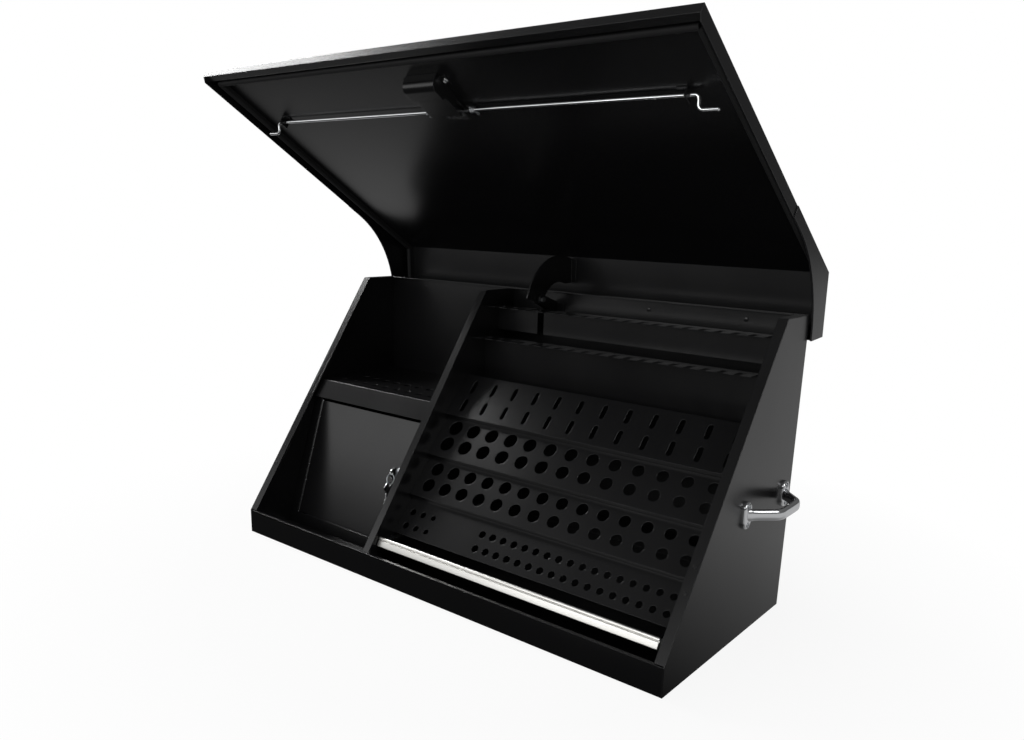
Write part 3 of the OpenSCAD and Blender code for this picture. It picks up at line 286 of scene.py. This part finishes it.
def put_mesh(name, skins, slot, body, replaced=(), sharp=35.0):
    """Joins closed skins into one object with a finish, rides it on a body, and lets it stand for nodes."""
    starts = np.cumsum([0] + [len(points) for points, _ in skins])
    points = np.concatenate([points for points, _ in skins])
    faces = [[v + start for v in face] for start, (_, quads) in zip(starts, skins) for face in quads]
    mesh = bpy.data.meshes.new(name)
    mesh.from_pydata(points.tolist(), [], faces)
    shape = bmesh.new()
    shape.from_mesh(mesh)
    bmesh.ops.recalc_face_normals(shape, faces=shape.faces)
    shape.to_mesh(mesh)
    shape.free()
    mesh.shade_smooth()
    mesh.set_sharp_from_angle(angle=np.radians(sharp))
    mesh.materials.append(finish(slot))
    piece = bpy.data.objects.new(name, mesh)
    bpy.context.scene.collection.objects.link(piece)
    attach(piece, body)
    if replaced:
        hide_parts(*replaced)
    return piece


def joint_axes(name):
    """Rows of a frame at a joint: X, the way up the sheet, and the way out of it, and the joint's place."""
    joint = JOINTS[name]
    out = -np.array(joint["axis"], float)
    side = np.array([1.0, 0.0, 0.0])
    return np.stack([side, np.cross(out, side), out]), np.array(joint["pos_m"], float)


def carried(skin, axes, origin):
    """Moves a skin to a frame given by its rows of axes and its origin."""
    points, faces = skin
    return points @ np.asarray(axes, float) + np.asarray(origin, float), faces


# Rows of axes whose third row, the way a head stands up, points along X, -X or Y
STAND_RIGHT = ((0, 1, 0), (0, 0, 1), (1, 0, 0))
STAND_LEFT = ((0, 0, 1), (0, 1, 0), (-1, 0, 0))
STAND_BACK = ((0, 0, 1), (1, 0, 0), (0, 1, 0))


def screw(radius, dome, recess, shank_r, shank_l):
    """A pan head on a shank: over the head's flat rim the height is dome times 0.4 plus 0.6 of the root
    of 1 minus the squared share of the radius, less a cross of two bars that is deepest at the middle."""
    share = np.array([1.0, 0.97, 0.92, 0.85, 0.77, 0.69, 0.62, 0.56,
                      0.5, 0.42, 0.34, 0.26, 0.2, 0.14, 0.08, 0.03])
    domed = dome * (0.4 + 0.6 * np.sqrt(1.0 - share ** 2))
    radii = np.concatenate([[shank_r * 0.8, shank_r, shank_r, radius], share * radius])
    heights = np.concatenate([[-shank_l, 0.5 * MM - shank_l, 0.0, 0.0], domed])
    rings = turned(radii, heights, 64)
    across = np.abs(rings[4:, :, :2]) / radius
    narrow = np.clip((0.17 - across.min(-1)) / 0.06, 0.0, 1.0)
    inside = np.clip((0.62 - across.max(-1)) / 0.10, 0.0, 1.0)
    rings[4:, :, 2] -= recess * narrow * inside * (1.0 - 0.45 * across.max(-1))
    return tube(rings)


def rivet(radius, outer, inner, grip, shank_r):
    """A shank with a domed head on each end: each height is the dome times the root of 1 minus the
    squared share of the radius."""
    share = np.sin(np.linspace(0.04, np.pi / 2, 14))
    dome = np.sqrt(np.clip(1.0 - share ** 2, 0.0, 1.0))
    radii = np.concatenate([share * radius * 0.92, [shank_r, shank_r], share[::-1] * radius])
    heights = np.concatenate([-grip - inner * dome, [-grip, 0.0], outer * dome[::-1]])
    return tube(turned(radii, heights, 40))


def rounded(half_x, half_y, power, count):
    """A closed outline: each coordinate is its half size times the sine or cosine to the 2/power."""
    angle = np.linspace(0.0, 2.0 * np.pi, count, endpoint=False)
    wave = np.stack([np.cos(angle), np.sin(angle)], -1)
    return np.sign(wave) * np.abs(wave) ** (2.0 / power) * (half_x, half_y)


# A side handle: its middle, half the distance between its pads, the pads, the bend and the screws, in mm
HANDLE_WALL = 452.0
HANDLE_Y = 92.0
HANDLE_Z = 200.0
HANDLE_HALF = 70.0
HANDLE_ROOT = 0.5
PAD_HALF = 9.5
PAD_R = 11.5
BEND_R = 22.0
GRIP_BOW = 1.5
LEG_FOOT = 5.5
SCREW_UP = 14.0
SCREW_SHANK = 2.4


def handle_path(reach):
    """Points (out, along) of the handle's middle line: a straight grip, two bends of 45 degrees,
    and two straight legs towards the pads. The grip bows out by 1.5 mm."""
    angle = np.radians(np.linspace(0.0, 45.0, 16))
    bow = reach - GRIP_BOW
    leg_top = np.array([bow - BEND_R * (1.0 - np.cos(angle[-1])), 0.0])
    leg_top[1] = HANDLE_HALF - leg_top[0]
    bend_y = leg_top[1] - BEND_R * np.sin(angle[-1])
    grip = np.stack([np.full(12, bow), np.linspace(0.0, bend_y, 12)], -1)
    bend = np.stack([bow - BEND_R * (1.0 - np.cos(angle)), bend_y + BEND_R * np.sin(angle)], -1)
    foot = np.array([LEG_FOOT, HANDLE_HALF - LEG_FOOT])
    leg = leg_top + np.linspace(0.0, 1.0, 20)[:, None] * (foot - leg_top)
    half = np.concatenate([grip[:-1], bend[:-1], leg])
    half[:, 0] += GRIP_BOW * np.cos(0.5 * np.pi * half[:, 1] / HANDLE_HALF) ** 2
    return np.concatenate([half[:0:-1] * (1, -1), half])


def handle_bar(sizes):
    """A rounded section carried along the handle's middle line: it swells by 4 percent at the middle
    of the grip and by a quarter at its ends, fading over 5 mm, and each end is cut along the wall."""
    path = handle_path(sizes.grip_out / MM)
    step = np.gradient(path, axis=0)
    step /= np.linalg.norm(step, axis=1)[:, None]
    side = np.stack([step[:, 1], -step[:, 0]], -1)
    run = np.concatenate([[0.0], np.cumsum(np.linalg.norm(np.diff(path, axis=0), axis=1))])
    ends = np.minimum(run, run[-1] - run)
    grow = 1.0 + 0.04 * np.sin(np.pi * run / run[-1]) + 0.2 * np.exp(-ends / 5.0)
    section = rounded(0.5 * sizes.grip_t / MM, 0.5 * sizes.grip_h / MM, 2.7, 40)
    flat = path[:, None, :] + side[:, None, :] * (section[None, :, 0, None] * grow[:, None, None])
    up = section[None, :, 1] * grow[:, None]
    roots = [flat[k] + step[k] * ((HANDLE_ROOT - flat[k, :, 0]) / step[k, 0])[:, None] for k in (0, -1)]
    flat = np.concatenate([roots[0][None], flat, roots[1][None]])
    up = np.concatenate([up[:1], up, up[-1:]])
    return np.concatenate([flat, up[..., None]], -1)


def handle_pad(sizes):
    """A stadium plate with a rounded rim: rings of its outline shrink as they rise to a shallow crown."""
    angle = np.linspace(0.0, np.pi, 33)
    top = np.stack([PAD_R * np.cos(angle), PAD_HALF + PAD_R * np.sin(angle)], -1)
    outline = np.concatenate([top, -top])
    share = np.array([1.0, 1.0, 0.985, 0.95, 0.9, 0.83, 0.6, 0.3, 0.05])
    rise = np.array([0.0, 0.5, 0.68, 0.83, 0.92, 0.965, 0.99, 1.0, 1.0]) * sizes.pad_t / MM
    rings = np.empty((len(share), len(outline), 3))
    rings[..., 0] = rise[:, None]
    rings[..., 1:] = share[:, None, None] * outline
    return rings


class CHEST_OT_handles(Operator):
    """Casts the two carrying handles, each a bent bar on two pads"""

    bl_idname = "chest.handles"
    bl_label = "Handles"

    def execute(self, context):
        sizes = context.scene.chest_sizes
        pads = [handle_pad(sizes) + (0.0, end * HANDLE_HALF, 0.0) for end in (-1, 1)]
        for node, side in (("left_handle", -1), ("right_handle", 1)):
            place = np.array([side * HANDLE_WALL, HANDLE_Y, HANDLE_Z])
            skins = [tube((rings * (side, 1, 1) + place) * MM) for rings in [handle_bar(sizes)] + pads]
            put_mesh(node + "_cast", skins, "chrome_plate", "case", (node,), sharp=50.0)
        return {"FINISHED"}


# The screws of the latch housing, in the latch's frame: they stand on the feet of the housing, 3 mm inside
# the outer face of the lid. Then the radius, dome, recess and shank of each, in mm
LATCH_SCREWS = ((-36.0, -57.0, -3.0), (36.0, -57.0, -3.0))
LATCH_HEAD_R = 4.6
LATCH_DOME = 2.2
LATCH_RECESS = 1.2
LATCH_SHANK = 1.4


class CHEST_OT_screws(Operator):
    """Turns the screws of the handles and of the latch housing"""

    bl_idname = "chest.screws"
    bl_label = "Screws"

    def execute(self, context):
        sizes = context.scene.chest_sizes
        one = screw(sizes.screw_r, sizes.screw_dome, sizes.recess, SCREW_SHANK * MM, sizes.pad_t)
        skins = []
        for side, stand in ((-1, STAND_LEFT), (1, STAND_RIGHT)):
            for end in (-1, 1):
                for up in (-1, 1):
                    x = side * (HANDLE_WALL + sizes.pad_t / MM - 0.2)
                    place = np.array([x, HANDLE_Y + end * HANDLE_HALF, HANDLE_Z + up * SCREW_UP])
                    skins.append(carried(one, stand, place * MM))
        put_mesh("handle_screw_heads", skins, "zinc_plate", "case", ("handle_screws",))
        axes, place = joint_axes("latch_turn")
        one = screw(LATCH_HEAD_R * MM, LATCH_DOME * MM, LATCH_RECESS * MM, SCREW_SHANK * MM, LATCH_SHANK * MM)
        stand = np.stack([axes[0], -axes[1], -axes[2]])
        skins = [carried(one, stand, place + np.array(spot) * MM @ axes) for spot in LATCH_SCREWS]
        put_mesh("latch_screw_heads", skins, "chrome_plate", "lid", ("latch_screws",))
        return {"FINISHED"}


# The hinge rivets: their places along the hinge, their height, the face they stand on, the sheet between
# their heads, the domes outside and inside, and the shank, in mm
RIVET_X = (-352.4, -176.2, 176.2, 352.4)
RIVET_Z = 460.0
RIVET_FACE = 193.5
RIVET_GRIP = 3.0
RIVET_OUTER = 1.4
RIVET_INNER = 1.2
RIVET_SHANK = 2.4


class CHEST_OT_rivets(Operator):
    """Sets the domed rivets of the long hinge"""

    bl_idname = "chest.rivets"
    bl_label = "Rivets"

    def execute(self, context):
        sizes = context.scene.chest_sizes
        one = rivet(sizes.rivet_r, RIVET_OUTER * MM, RIVET_INNER * MM, RIVET_GRIP * MM, RIVET_SHANK * MM)
        skins = [carried(one, STAND_BACK, np.array([x, RIVET_FACE, RIVET_Z]) * MM) for x in RIVET_X]
        put_mesh("hinge_rivet_heads", skins, "black_steel", "case", ("hinge_rivets",))
        return {"FINISHED"}


# The drawer pull: its ends, the foot of its face, its lean, its face and its leg, in mm
PULL_X = (-117.5, 429.0)
PULL_FOOT = (-172.0, 54.0)
PULL_LEAN = 25.0
PULL_FACE = 17.0
PULL_T = 4.0
PULL_LEG = (18.0, 3.0)


def arc(centre, radius, first, last, count):
    """Points on a circle between two angles in degrees."""
    angle = np.radians(np.linspace(first, last, count))
    return np.stack([centre[0] + radius * np.cos(angle), centre[1] + radius * np.sin(angle)], -1)


def pull_face():
    """Outline (back, up) of the leaning band: round lower edges, a plain face, a round groove
    and a bead along the top."""
    return np.concatenate([
        arc((1.2, 1.2), 1.2, 270.0, 180.0, 7),
        arc((0.0, 11.7), 1.5, 270.0, 450.0, 13),
        arc((2.0, PULL_FACE - 2.0), 2.0, 190.0, 90.0, 11),
        arc((PULL_T - 1.0, PULL_FACE - 1.0), 1.0, 90.0, 0.0, 6),
        arc((PULL_T - 1.2, 1.2), 1.2, 0.0, -90.0, 7)])


def along_pull(outline, corner):
    """Carries an outline along X. Near each end it shrinks to its middle on a quarter circle, so that
    the end's edges are round."""
    turn = np.radians(np.linspace(0.0, 90.0, 8))
    inset = corner * (1.0 - np.sin(turn))
    from_end = corner * (1.0 - np.cos(turn))
    x = np.concatenate([PULL_X[0] + from_end, PULL_X[1] - from_end[::-1]])
    inset = np.concatenate([inset, inset[::-1]])
    middle = 0.5 * (outline.min(0) + outline.max(0))
    half = 0.5 * (outline.max(0) - outline.min(0))
    flat = middle + (outline - middle) * (1.0 - inset[:, None, None] / half)
    rings = np.empty(flat.shape[:2] + (3,))
    rings[..., 0] = x[:, None]
    rings[..., 1:] = flat
    return rings


class CHEST_OT_pull(Operator):
    """Extrudes the drawer pull, a leaning band with a groove and a bead, on a leg"""

    bl_idname = "chest.pull"
    bl_label = "Drawer pull"

    def execute(self, context):
        lean = np.radians(PULL_LEAN)
        face = along_pull(pull_face(), 1.2)
        back, up = face[..., 1].copy(), face[..., 2].copy()
        face[..., 1] = back * np.cos(lean) + up * np.sin(lean)
        face[..., 2] = up * np.cos(lean) - back * np.sin(lean)
        leg = along_pull(rounded(0.5 * PULL_LEG[0], 0.5 * PULL_LEG[1], 9.0, 48), 0.6)
        leg[..., 1:] += (3.0 + 0.5 * PULL_LEG[0], 0.5 * PULL_LEG[1])
        foot = np.array([0.0, PULL_FOOT[0], PULL_FOOT[1]])
        skins = [tube((rings + foot) * MM) for rings in (face, leg)]
        put_mesh("drawer_pull_bar", skins, "alloy", "drawer", ("drawer_pull",))
        return {"FINISHED"}


# A key, from the hole of its bow: the hole, the bow, the neck, half the blade's width and its cuts, in mm
KEY_HOLE_R = 2.6
BOW_R = 11.0
BOW_DOWN = 6.0
NECK_DOWN = 15.5
BLADE_HALF = 3.5
LOCK_BLADE = 11.0
SPARE_BLADE = 26.0
# How far the hole of the bow stands out of the door
KEY_OUT = 23.5
KEY_CUTS = (0.0, 0.0, 1.3, 0.5, 1.9, 1.0, 2.2, 1.2, 0.6, 1.7, 0.9, 2.0, 0.4, 1.5, 1.5)


def key_bow(thick):
    """A flat ring between the hole and a rounded bow: one outline is blended to the other across
    the face, and its edges are broken by a chamfer."""
    angle = np.linspace(0.0, 2.0 * np.pi, 64, endpoint=False)
    round_line = np.stack([np.cos(angle), np.sin(angle)], -1)
    hole = KEY_HOLE_R * round_line
    bow = BOW_R * (0.97 + 0.03 * np.cos(4.0 * angle))[:, None] * round_line - (0.0, BOW_DOWN)
    share = np.array([0.0, 0.05, 0.5, 0.93, 1.0, 1.0, 0.93, 0.5, 0.05, 0.0])
    rise = np.array([-0.6, -1.0, -1.0, -1.0, -0.55, 0.55, 1.0, 1.0, 1.0, 0.6]) * 0.5 * thick
    rings = np.empty((len(share), len(angle), 3))
    rings[..., 0] = rise[:, None]
    rings[..., 1:] = hole + share[:, None, None] * (bow - hole)
    return hoop(rings)


def key_blade(thick, long):
    """A flat bar with a milled groove on each face: its cut edge is taken in by depths
    interpolated along it, and both edges close in at the tip."""
    down = np.linspace(0.0, long, 80)
    cut = np.interp(down, np.linspace(2.0, long - 3.0, len(KEY_CUTS)), KEY_CUTS)
    close = np.clip((down - (long - 3.0)) / 3.0, 0.0, 1.0) * 2.2
    upper = BLADE_HALF - np.maximum(cut, close)
    lower = -BLADE_HALF + close
    share = np.array([0.0, 0.04, 0.35, 0.42, 0.58, 0.65, 0.96, 1.0])
    rise = np.array([-0.7, -1.0, -1.0, -0.6, -0.6, -1.0, -1.0, -0.7]) * 0.5 * thick
    share = np.concatenate([share, share[::-1]])
    rise = np.concatenate([rise, -rise])
    rings = np.empty((len(down), len(share), 3))
    rings[..., 0] = rise
    rings[..., 1] = lower[:, None] + share * (upper - lower)[:, None]
    rings[..., 2] = -NECK_DOWN - down[:, None]
    return tube(rings)


def split_ring(radius, wire):
    """A wire wound twice round: the angle runs through two turns, and the height steps from the lower
    to the upper turn within a twelfth of a turn. The wire is flattened to half its height."""
    turn = np.linspace(0.0, 4.0 * np.pi, 161)
    height = 0.53 * wire * np.tanh((turn - 2.0 * np.pi) / 0.25)
    section = rounded(wire, 0.5 * wire, 2.4, 14)
    reach = radius + section[:, 0]
    rings = np.empty((len(turn), len(section), 3))
    rings[..., 0] = np.cos(turn)[:, None] * reach
    rings[..., 1] = np.sin(turn)[:, None] * reach
    rings[..., 2] = height[:, None] + section[:, 1]
    return tube(rings)


class CHEST_OT_keys(Operator):
    """Cuts the key in the locker's lock, the spare key, and the ring that holds them"""

    bl_idname = "chest.keys"
    bl_label = "Keys"

    def execute(self, context):
        sizes = context.scene.chest_sizes
        axes, place = joint_axes("lock_turn")
        thick = sizes.key_t / MM
        drop = KEY_HOLE_R - 1.0 + sizes.ring_r / MM
        # The key in the lock points into the door, and the spare key hangs along it.
        keys = (("lock_key", 0.0, LOCK_BLADE, axes),
                ("spare_key", -2.0 * drop, SPARE_BLADE, axes[[0, 2, 1]]))
        for node, up, long, lay in keys:
            origin = place + np.array([0.0, up, KEY_OUT]) * MM @ axes
            skins = [carried((points * MM, faces), lay, origin)
                     for points, faces in (key_bow(thick), key_blade(thick, long))]
            put_mesh(node + "_cut", skins, "chrome_plate", "lock", (node,))
        points, faces = split_ring(sizes.ring_r / MM, sizes.ring_wire / MM)
        origin = place + np.array([0.0, -drop, KEY_OUT]) * MM @ axes
        ring = carried((points * MM, faces), axes, origin)
        put_mesh("key_split_ring", [ring], "zinc_plate", "lock", ("key_ring",))
        return {"FINISHED"}


# Middle line of the latch rods under the outer face of the lid, their radius, half the length of a collar,
# the eye and the wire of a split pin, in mm, its tilt in degrees, and the place and side of each clip
ROD_DOWN = 7.8
ROD_R = 2.6
COLLAR_HALF = 4.0
EYE_R = 2.2
EYE_UP = 9.2
PIN_WIRE = 0.65
PIN_TILT = 25.0
CLIPS = (("left_rod", -40.0, -1.0), ("right_rod", 47.0, 1.0))


def rod_collar():
    """A collar with two beads: its radius is the rod's plus 0.8 mm and 1.8 mm of a squared sine."""
    along = np.linspace(-COLLAR_HALF, COLLAR_HALF, 33)
    bead = ROD_R + 0.8 + 1.8 * np.sin(np.pi * (along + COLLAR_HALF) / COLLAR_HALF) ** 2
    radii = np.concatenate([[ROD_R - 0.4], bead, [ROD_R - 0.4]])
    heights = np.concatenate([[-COLLAR_HALF], along, [COLLAR_HALF]])
    return tube(turned(radii, heights, 32))


def rod_pin():
    """A split pin through the rod: a wire goes up one leg, round an eye of 2.2 mm, and down the other."""
    turn = np.linspace(-0.8 * np.pi, 0.8 * np.pi, 29)
    eye = np.stack([EYE_R * np.sin(turn), EYE_UP + EYE_R * np.cos(turn)], -1)
    leg = np.array([[-0.7, -7.0], [-0.7, 6.0]])
    path = np.concatenate([leg, eye, leg[::-1] * (-1, 1)])
    step = np.gradient(path, axis=0)
    step /= np.linalg.norm(step, axis=1)[:, None]
    side = np.stack([step[:, 1], -step[:, 0]], -1)
    section = rounded(PIN_WIRE, PIN_WIRE, 2.0, 10)
    flat = path[:, None, :] + side[:, None, :] * section[None, :, 0, None]
    depth = np.broadcast_to(section[:, 1], flat.shape[:2])
    return tube(np.concatenate([flat, depth[..., None]], -1))


class CHEST_OT_clips(Operator):
    """Adds the collar and split pin on each latch rod"""

    bl_idname = "chest.clips"
    bl_label = "Rod clips"

    def execute(self, context):
        axes, place = joint_axes("latch_turn")
        for body, x, lean in CLIPS:
            origin = place + np.array([x, 0.0, -ROD_DOWN]) * MM @ axes
            points, faces = rod_collar()
            skins = [carried((points * MM, faces), axes[[1, 2, 0]], origin)]
            tilt = np.radians(PIN_TILT * lean)
            up = np.cos(tilt) * axes[1] + np.sin(tilt) * axes[0]
            points, faces = rod_pin()
            lay = np.stack([np.cross(up, axes[2]), up, axes[2]])
            skins.append(carried((points * MM, faces), lay, origin))
            put_mesh(body + "_clip", skins, "zinc_plate", body)
        return {"FINISHED"}


class CHEST_OT_finishes(Operator):
    """Gives every node of the frame the finish of its slot"""

    bl_idname = "chest.finishes"
    bl_label = "Finishes"

    def execute(self, context):
        for subpart in frame["record"]["subparts"]:
            node = frame["nodes"][subpart["node"]]
            material = finish(subpart["material_slot"])
            if not node.data.materials:
                node.data.materials.append(material)
            for slot in node.material_slots:
                slot.material = material
        return {"FINISHED"}


WHITE = (1.0, 1.0, 1.0, 1.0)

# Strength of the paper's own light on the chest: in front of it, and behind it at the left and the right
PAPER_FRONT = 0.03
PAPER_LEFT = 0.5
PAPER_RIGHT = 0.47

# A lit patch of paper in front of the chest: its middle, and where its light starts and is full, in metres
PATCH_PLACE = (0.3, -0.75, 0.0)
PATCH_EDGE = 0.5
PATCH_FULL = 0.25

# The floor lies this far under the chest, in mm
FLOOR_DROP = 0.3


def studio_paper(colours):
    """Matt white studio paper. The camera sees the chest's shadow close to it, fading to the plain white
    of the surround. On the chest the paper glows from behind, from the right and from one patch in front."""
    material, tree, place = start_material("studio_paper")
    matt = add(tree, "ShaderNodeBsdfDiffuse", Color=rgba(colours.paper))
    white = add(tree, "ShaderNodeEmission", Color=WHITE, Strength=1.0)
    away = add(tree, "ShaderNodeVectorMath", [(0, place)], operation="LENGTH")
    fade = add(tree, "ShaderNodeMapRange", [("Value", away.outputs["Value"])],
               From_Min=0.5, From_Max=1.0, To_Min=0.9, To_Max=1.0)
    view = add(tree, "ShaderNodeMixShader",
               [(0, fade.outputs["Result"]), (1, matt.outputs["BSDF"]), (2, white.outputs["Emission"])])
    parts = add(tree, "ShaderNodeSeparateXYZ", [("Vector", place)])
    behind = add(tree, "ShaderNodeMapRange", [("Value", parts.outputs["Y"])], From_Min=-0.2, From_Max=0.5)
    beside = add(tree, "ShaderNodeMapRange", [("Value", parts.outputs["X"])], From_Min=0.55, From_Max=0.95)
    apart = add(tree, "ShaderNodeVectorMath", [(0, place)], operation="DISTANCE")
    apart.inputs[1].default_value = PATCH_PLACE
    patch = add(tree, "ShaderNodeMapRange", [("Value", apart.outputs["Value"])],
                From_Min=PATCH_EDGE, From_Max=PATCH_FULL)
    around = add(tree, "ShaderNodeMath", [(0, behind.outputs["Result"]), (1, beside.outputs["Result"])],
                 operation="MAXIMUM")
    lit = add(tree, "ShaderNodeMath", [(0, around.outputs["Value"]), (1, patch.outputs["Result"])],
              operation="MAXIMUM")
    most = add(tree, "ShaderNodeMapRange", [("Value", parts.outputs["X"])],
               From_Min=-0.8, From_Max=0.2, To_Min=PAPER_LEFT, To_Max=PAPER_RIGHT)
    level = add(tree, "ShaderNodeMapRange",
                [("Value", lit.outputs["Value"]), ("To Max", most.outputs["Result"])], To_Min=PAPER_FRONT)
    glow = add(tree, "ShaderNodeEmission", [("Strength", level.outputs["Result"])], Color=WHITE)
    seen = add(tree, "ShaderNodeLightPath")
    both = add(tree, "ShaderNodeMixShader",
               [(0, seen.outputs["Is Camera Ray"]), (1, glow.outputs["Emission"]),
                (2, view.outputs["Shader"])])
    add(tree, "ShaderNodeOutputMaterial", [("Surface", both.outputs["Shader"])])
    return material


# Strength of the surround on the chest, at the horizon and overhead
SURROUND_LOW = 0.09
SURROUND_HIGH = 0.12


def white_world(scene):
    """A surround that is plain white to the camera. On the chest it is dim, and slightly brighter
    overhead than at the horizon."""
    world = bpy.data.worlds.new("studio_surround")
    scene.world = world
    world.use_nodes = True
    tree = world.node_tree
    tree.nodes.clear()
    way = add(tree, "ShaderNodeTexCoord")
    parts = add(tree, "ShaderNodeSeparateXYZ", [("Vector", way.outputs["Generated"])])
    sweep = add(tree, "ShaderNodeMapRange", [("Value", parts.outputs["Z"])],
                From_Min=0.1, From_Max=0.6, To_Min=SURROUND_LOW, To_Max=SURROUND_HIGH)
    seen = add(tree, "ShaderNodeLightPath")
    strength = add(tree, "ShaderNodeMath",
                   [(0, seen.outputs["Is Camera Ray"]), (1, sweep.outputs["Result"])], operation="MAXIMUM")
    light = add(tree, "ShaderNodeBackground", [("Strength", strength.outputs["Value"])], Color=WHITE)
    add(tree, "ShaderNodeOutputWorld", [("Surface", light.outputs["Background"])])


# Each lamp: name, place, point it faces, watts, width and height in metres
LAMPS = (
    ("left_softbox", (-1.75, -1.95, 0.95), (-0.1, -0.1, 0.5), 7.5, 1.7, 1.1),
    ("low_softbox", (-0.55, -2.55, 1.0), (0.1, -0.1, 0.3), 9.0, 1.4, 0.8),
    ("front_softbox", (0.3, -2.6, 1.7), (0.0, 0.0, 0.3), 9.0, 1.6, 0.9),
    ("high_softbox", (-2.3, 0.0, 2.1), (0.0, 0.0, 0.5), 50.0, 0.9, 0.9),
    ("right_softbox", (2.2, -0.5, 1.7), (0.45, 0.0, 0.2), 15.0, 1.2, 1.2),
)


def add_lamp(scene, name, place, target, power, width, height):
    """A rectangular area lamp that faces its target."""
    data = bpy.data.lights.new(name, "AREA")
    data.shape = "RECTANGLE"
    data.energy = power
    data.size = width
    data.size_y = height
    lamp = bpy.data.objects.new(name, data)
    aim = Vector(target) - Vector(place)
    lamp.matrix_world = Matrix.Translation(place) @ aim.to_track_quat("-Z", "Y").to_matrix().to_4x4()
    scene.collection.objects.link(lamp)


# The camera: its place in metres, its bearing from the front, its height and its roll in degrees
CAMERA_PLACE = (0.91781, -1.11749, 0.6154)
CAMERA_BEARING = 38.80309
CAMERA_HEIGHT = 14.80042
CAMERA_ROLL = 1.51286
CAMERA_LENS = 30.32228
CAMERA_SHIFT = (0.0078, 0.06778)


def add_camera(scene):
    """The camera: its axes come from its bearing and height, and are then turned by its roll."""
    bearing, height, roll = np.radians([CAMERA_BEARING, CAMERA_HEIGHT, CAMERA_ROLL])
    back = np.array([np.cos(height) * np.sin(bearing), -np.cos(height) * np.cos(bearing), np.sin(height)])
    right = np.array([np.cos(bearing), np.sin(bearing), 0.0])
    up = np.cross(back, right)
    right, up = right * np.cos(roll) + up * np.sin(roll), up * np.cos(roll) - right * np.sin(roll)
    data = bpy.data.cameras.new("photo_camera")
    data.sensor_width = 36.0
    data.lens = CAMERA_LENS
    data.shift_x, data.shift_y = CAMERA_SHIFT
    data.clip_start = 0.01
    camera = bpy.data.objects.new("photo_camera", data)
    turn = Matrix(np.stack([right, up, back], 1).tolist()).to_4x4()
    camera.matrix_world = Matrix.Translation(CAMERA_PLACE) @ turn
    scene.collection.objects.link(camera)
    scene.camera = camera


class CHEST_OT_stage(Operator):
    """Adds the white paper floor, the soft light and the camera"""

    bl_idname = "chest.stage"
    bl_label = "Stage"

    def execute(self, context):
        scene = context.scene
        half = scene.chest_sizes.floor_half
        low = -FLOOR_DROP * MM
        mesh = bpy.data.meshes.new("studio_floor")
        mesh.from_pydata([(-half, -half, low), (half, -half, low), (half, half, low), (-half, half, low)], [],
                         [(0, 1, 2, 3)])
        floor = bpy.data.objects.new("studio_floor", mesh)
        scene.collection.objects.link(floor)
        mesh.materials.append(studio_paper(scene.chest_colours))
        white_world(scene)
        for lamp in LAMPS:
            add_lamp(scene, *lamp)
        add_camera(scene)
        scene.view_settings.view_transform = "Standard"
        return {"FINISHED"}


class CHEST_PT_panel(Panel):
    """Lists the steps that dress the tool chest"""

    bl_label = "Tool Chest"
    bl_idname = "CHEST_PT_panel"
    bl_space_type = "VIEW_3D"
    bl_region_type = "UI"
    bl_category = "Tool Chest"

    def draw(self, context):
        for step in STEPS:
            self.layout.operator(step.bl_idname)


STEPS = (CHEST_OT_stage, CHEST_OT_finishes, CHEST_OT_handles, CHEST_OT_screws, CHEST_OT_rivets,
         CHEST_OT_pull, CHEST_OT_keys, CHEST_OT_clips)
CLASSES = (ChestColours, ChestSizes) + STEPS + (CHEST_PT_panel,)


def register():
    for entry in CLASSES:
        bpy.utils.register_class(entry)
    bpy.types.Scene.chest_colours = PointerProperty(type=ChestColours)
    bpy.types.Scene.chest_sizes = PointerProperty(type=ChestSizes)


def unregister():
    del bpy.types.Scene.chest_sizes
    del bpy.types.Scene.chest_colours
    for entry in reversed(CLASSES):
        bpy.utils.unregister_class(entry)


def main():
    register()
    bpy.ops.chest.stage()
    bpy.ops.chest.finishes()
    bpy.ops.chest.handles()
    bpy.ops.chest.screws()
    bpy.ops.chest.rivets()
    bpy.ops.chest.pull()
    bpy.ops.chest.keys()
    bpy.ops.chest.clips()
    bpy.context.view_layer.update()


if __name__ == "__main__":
    main()
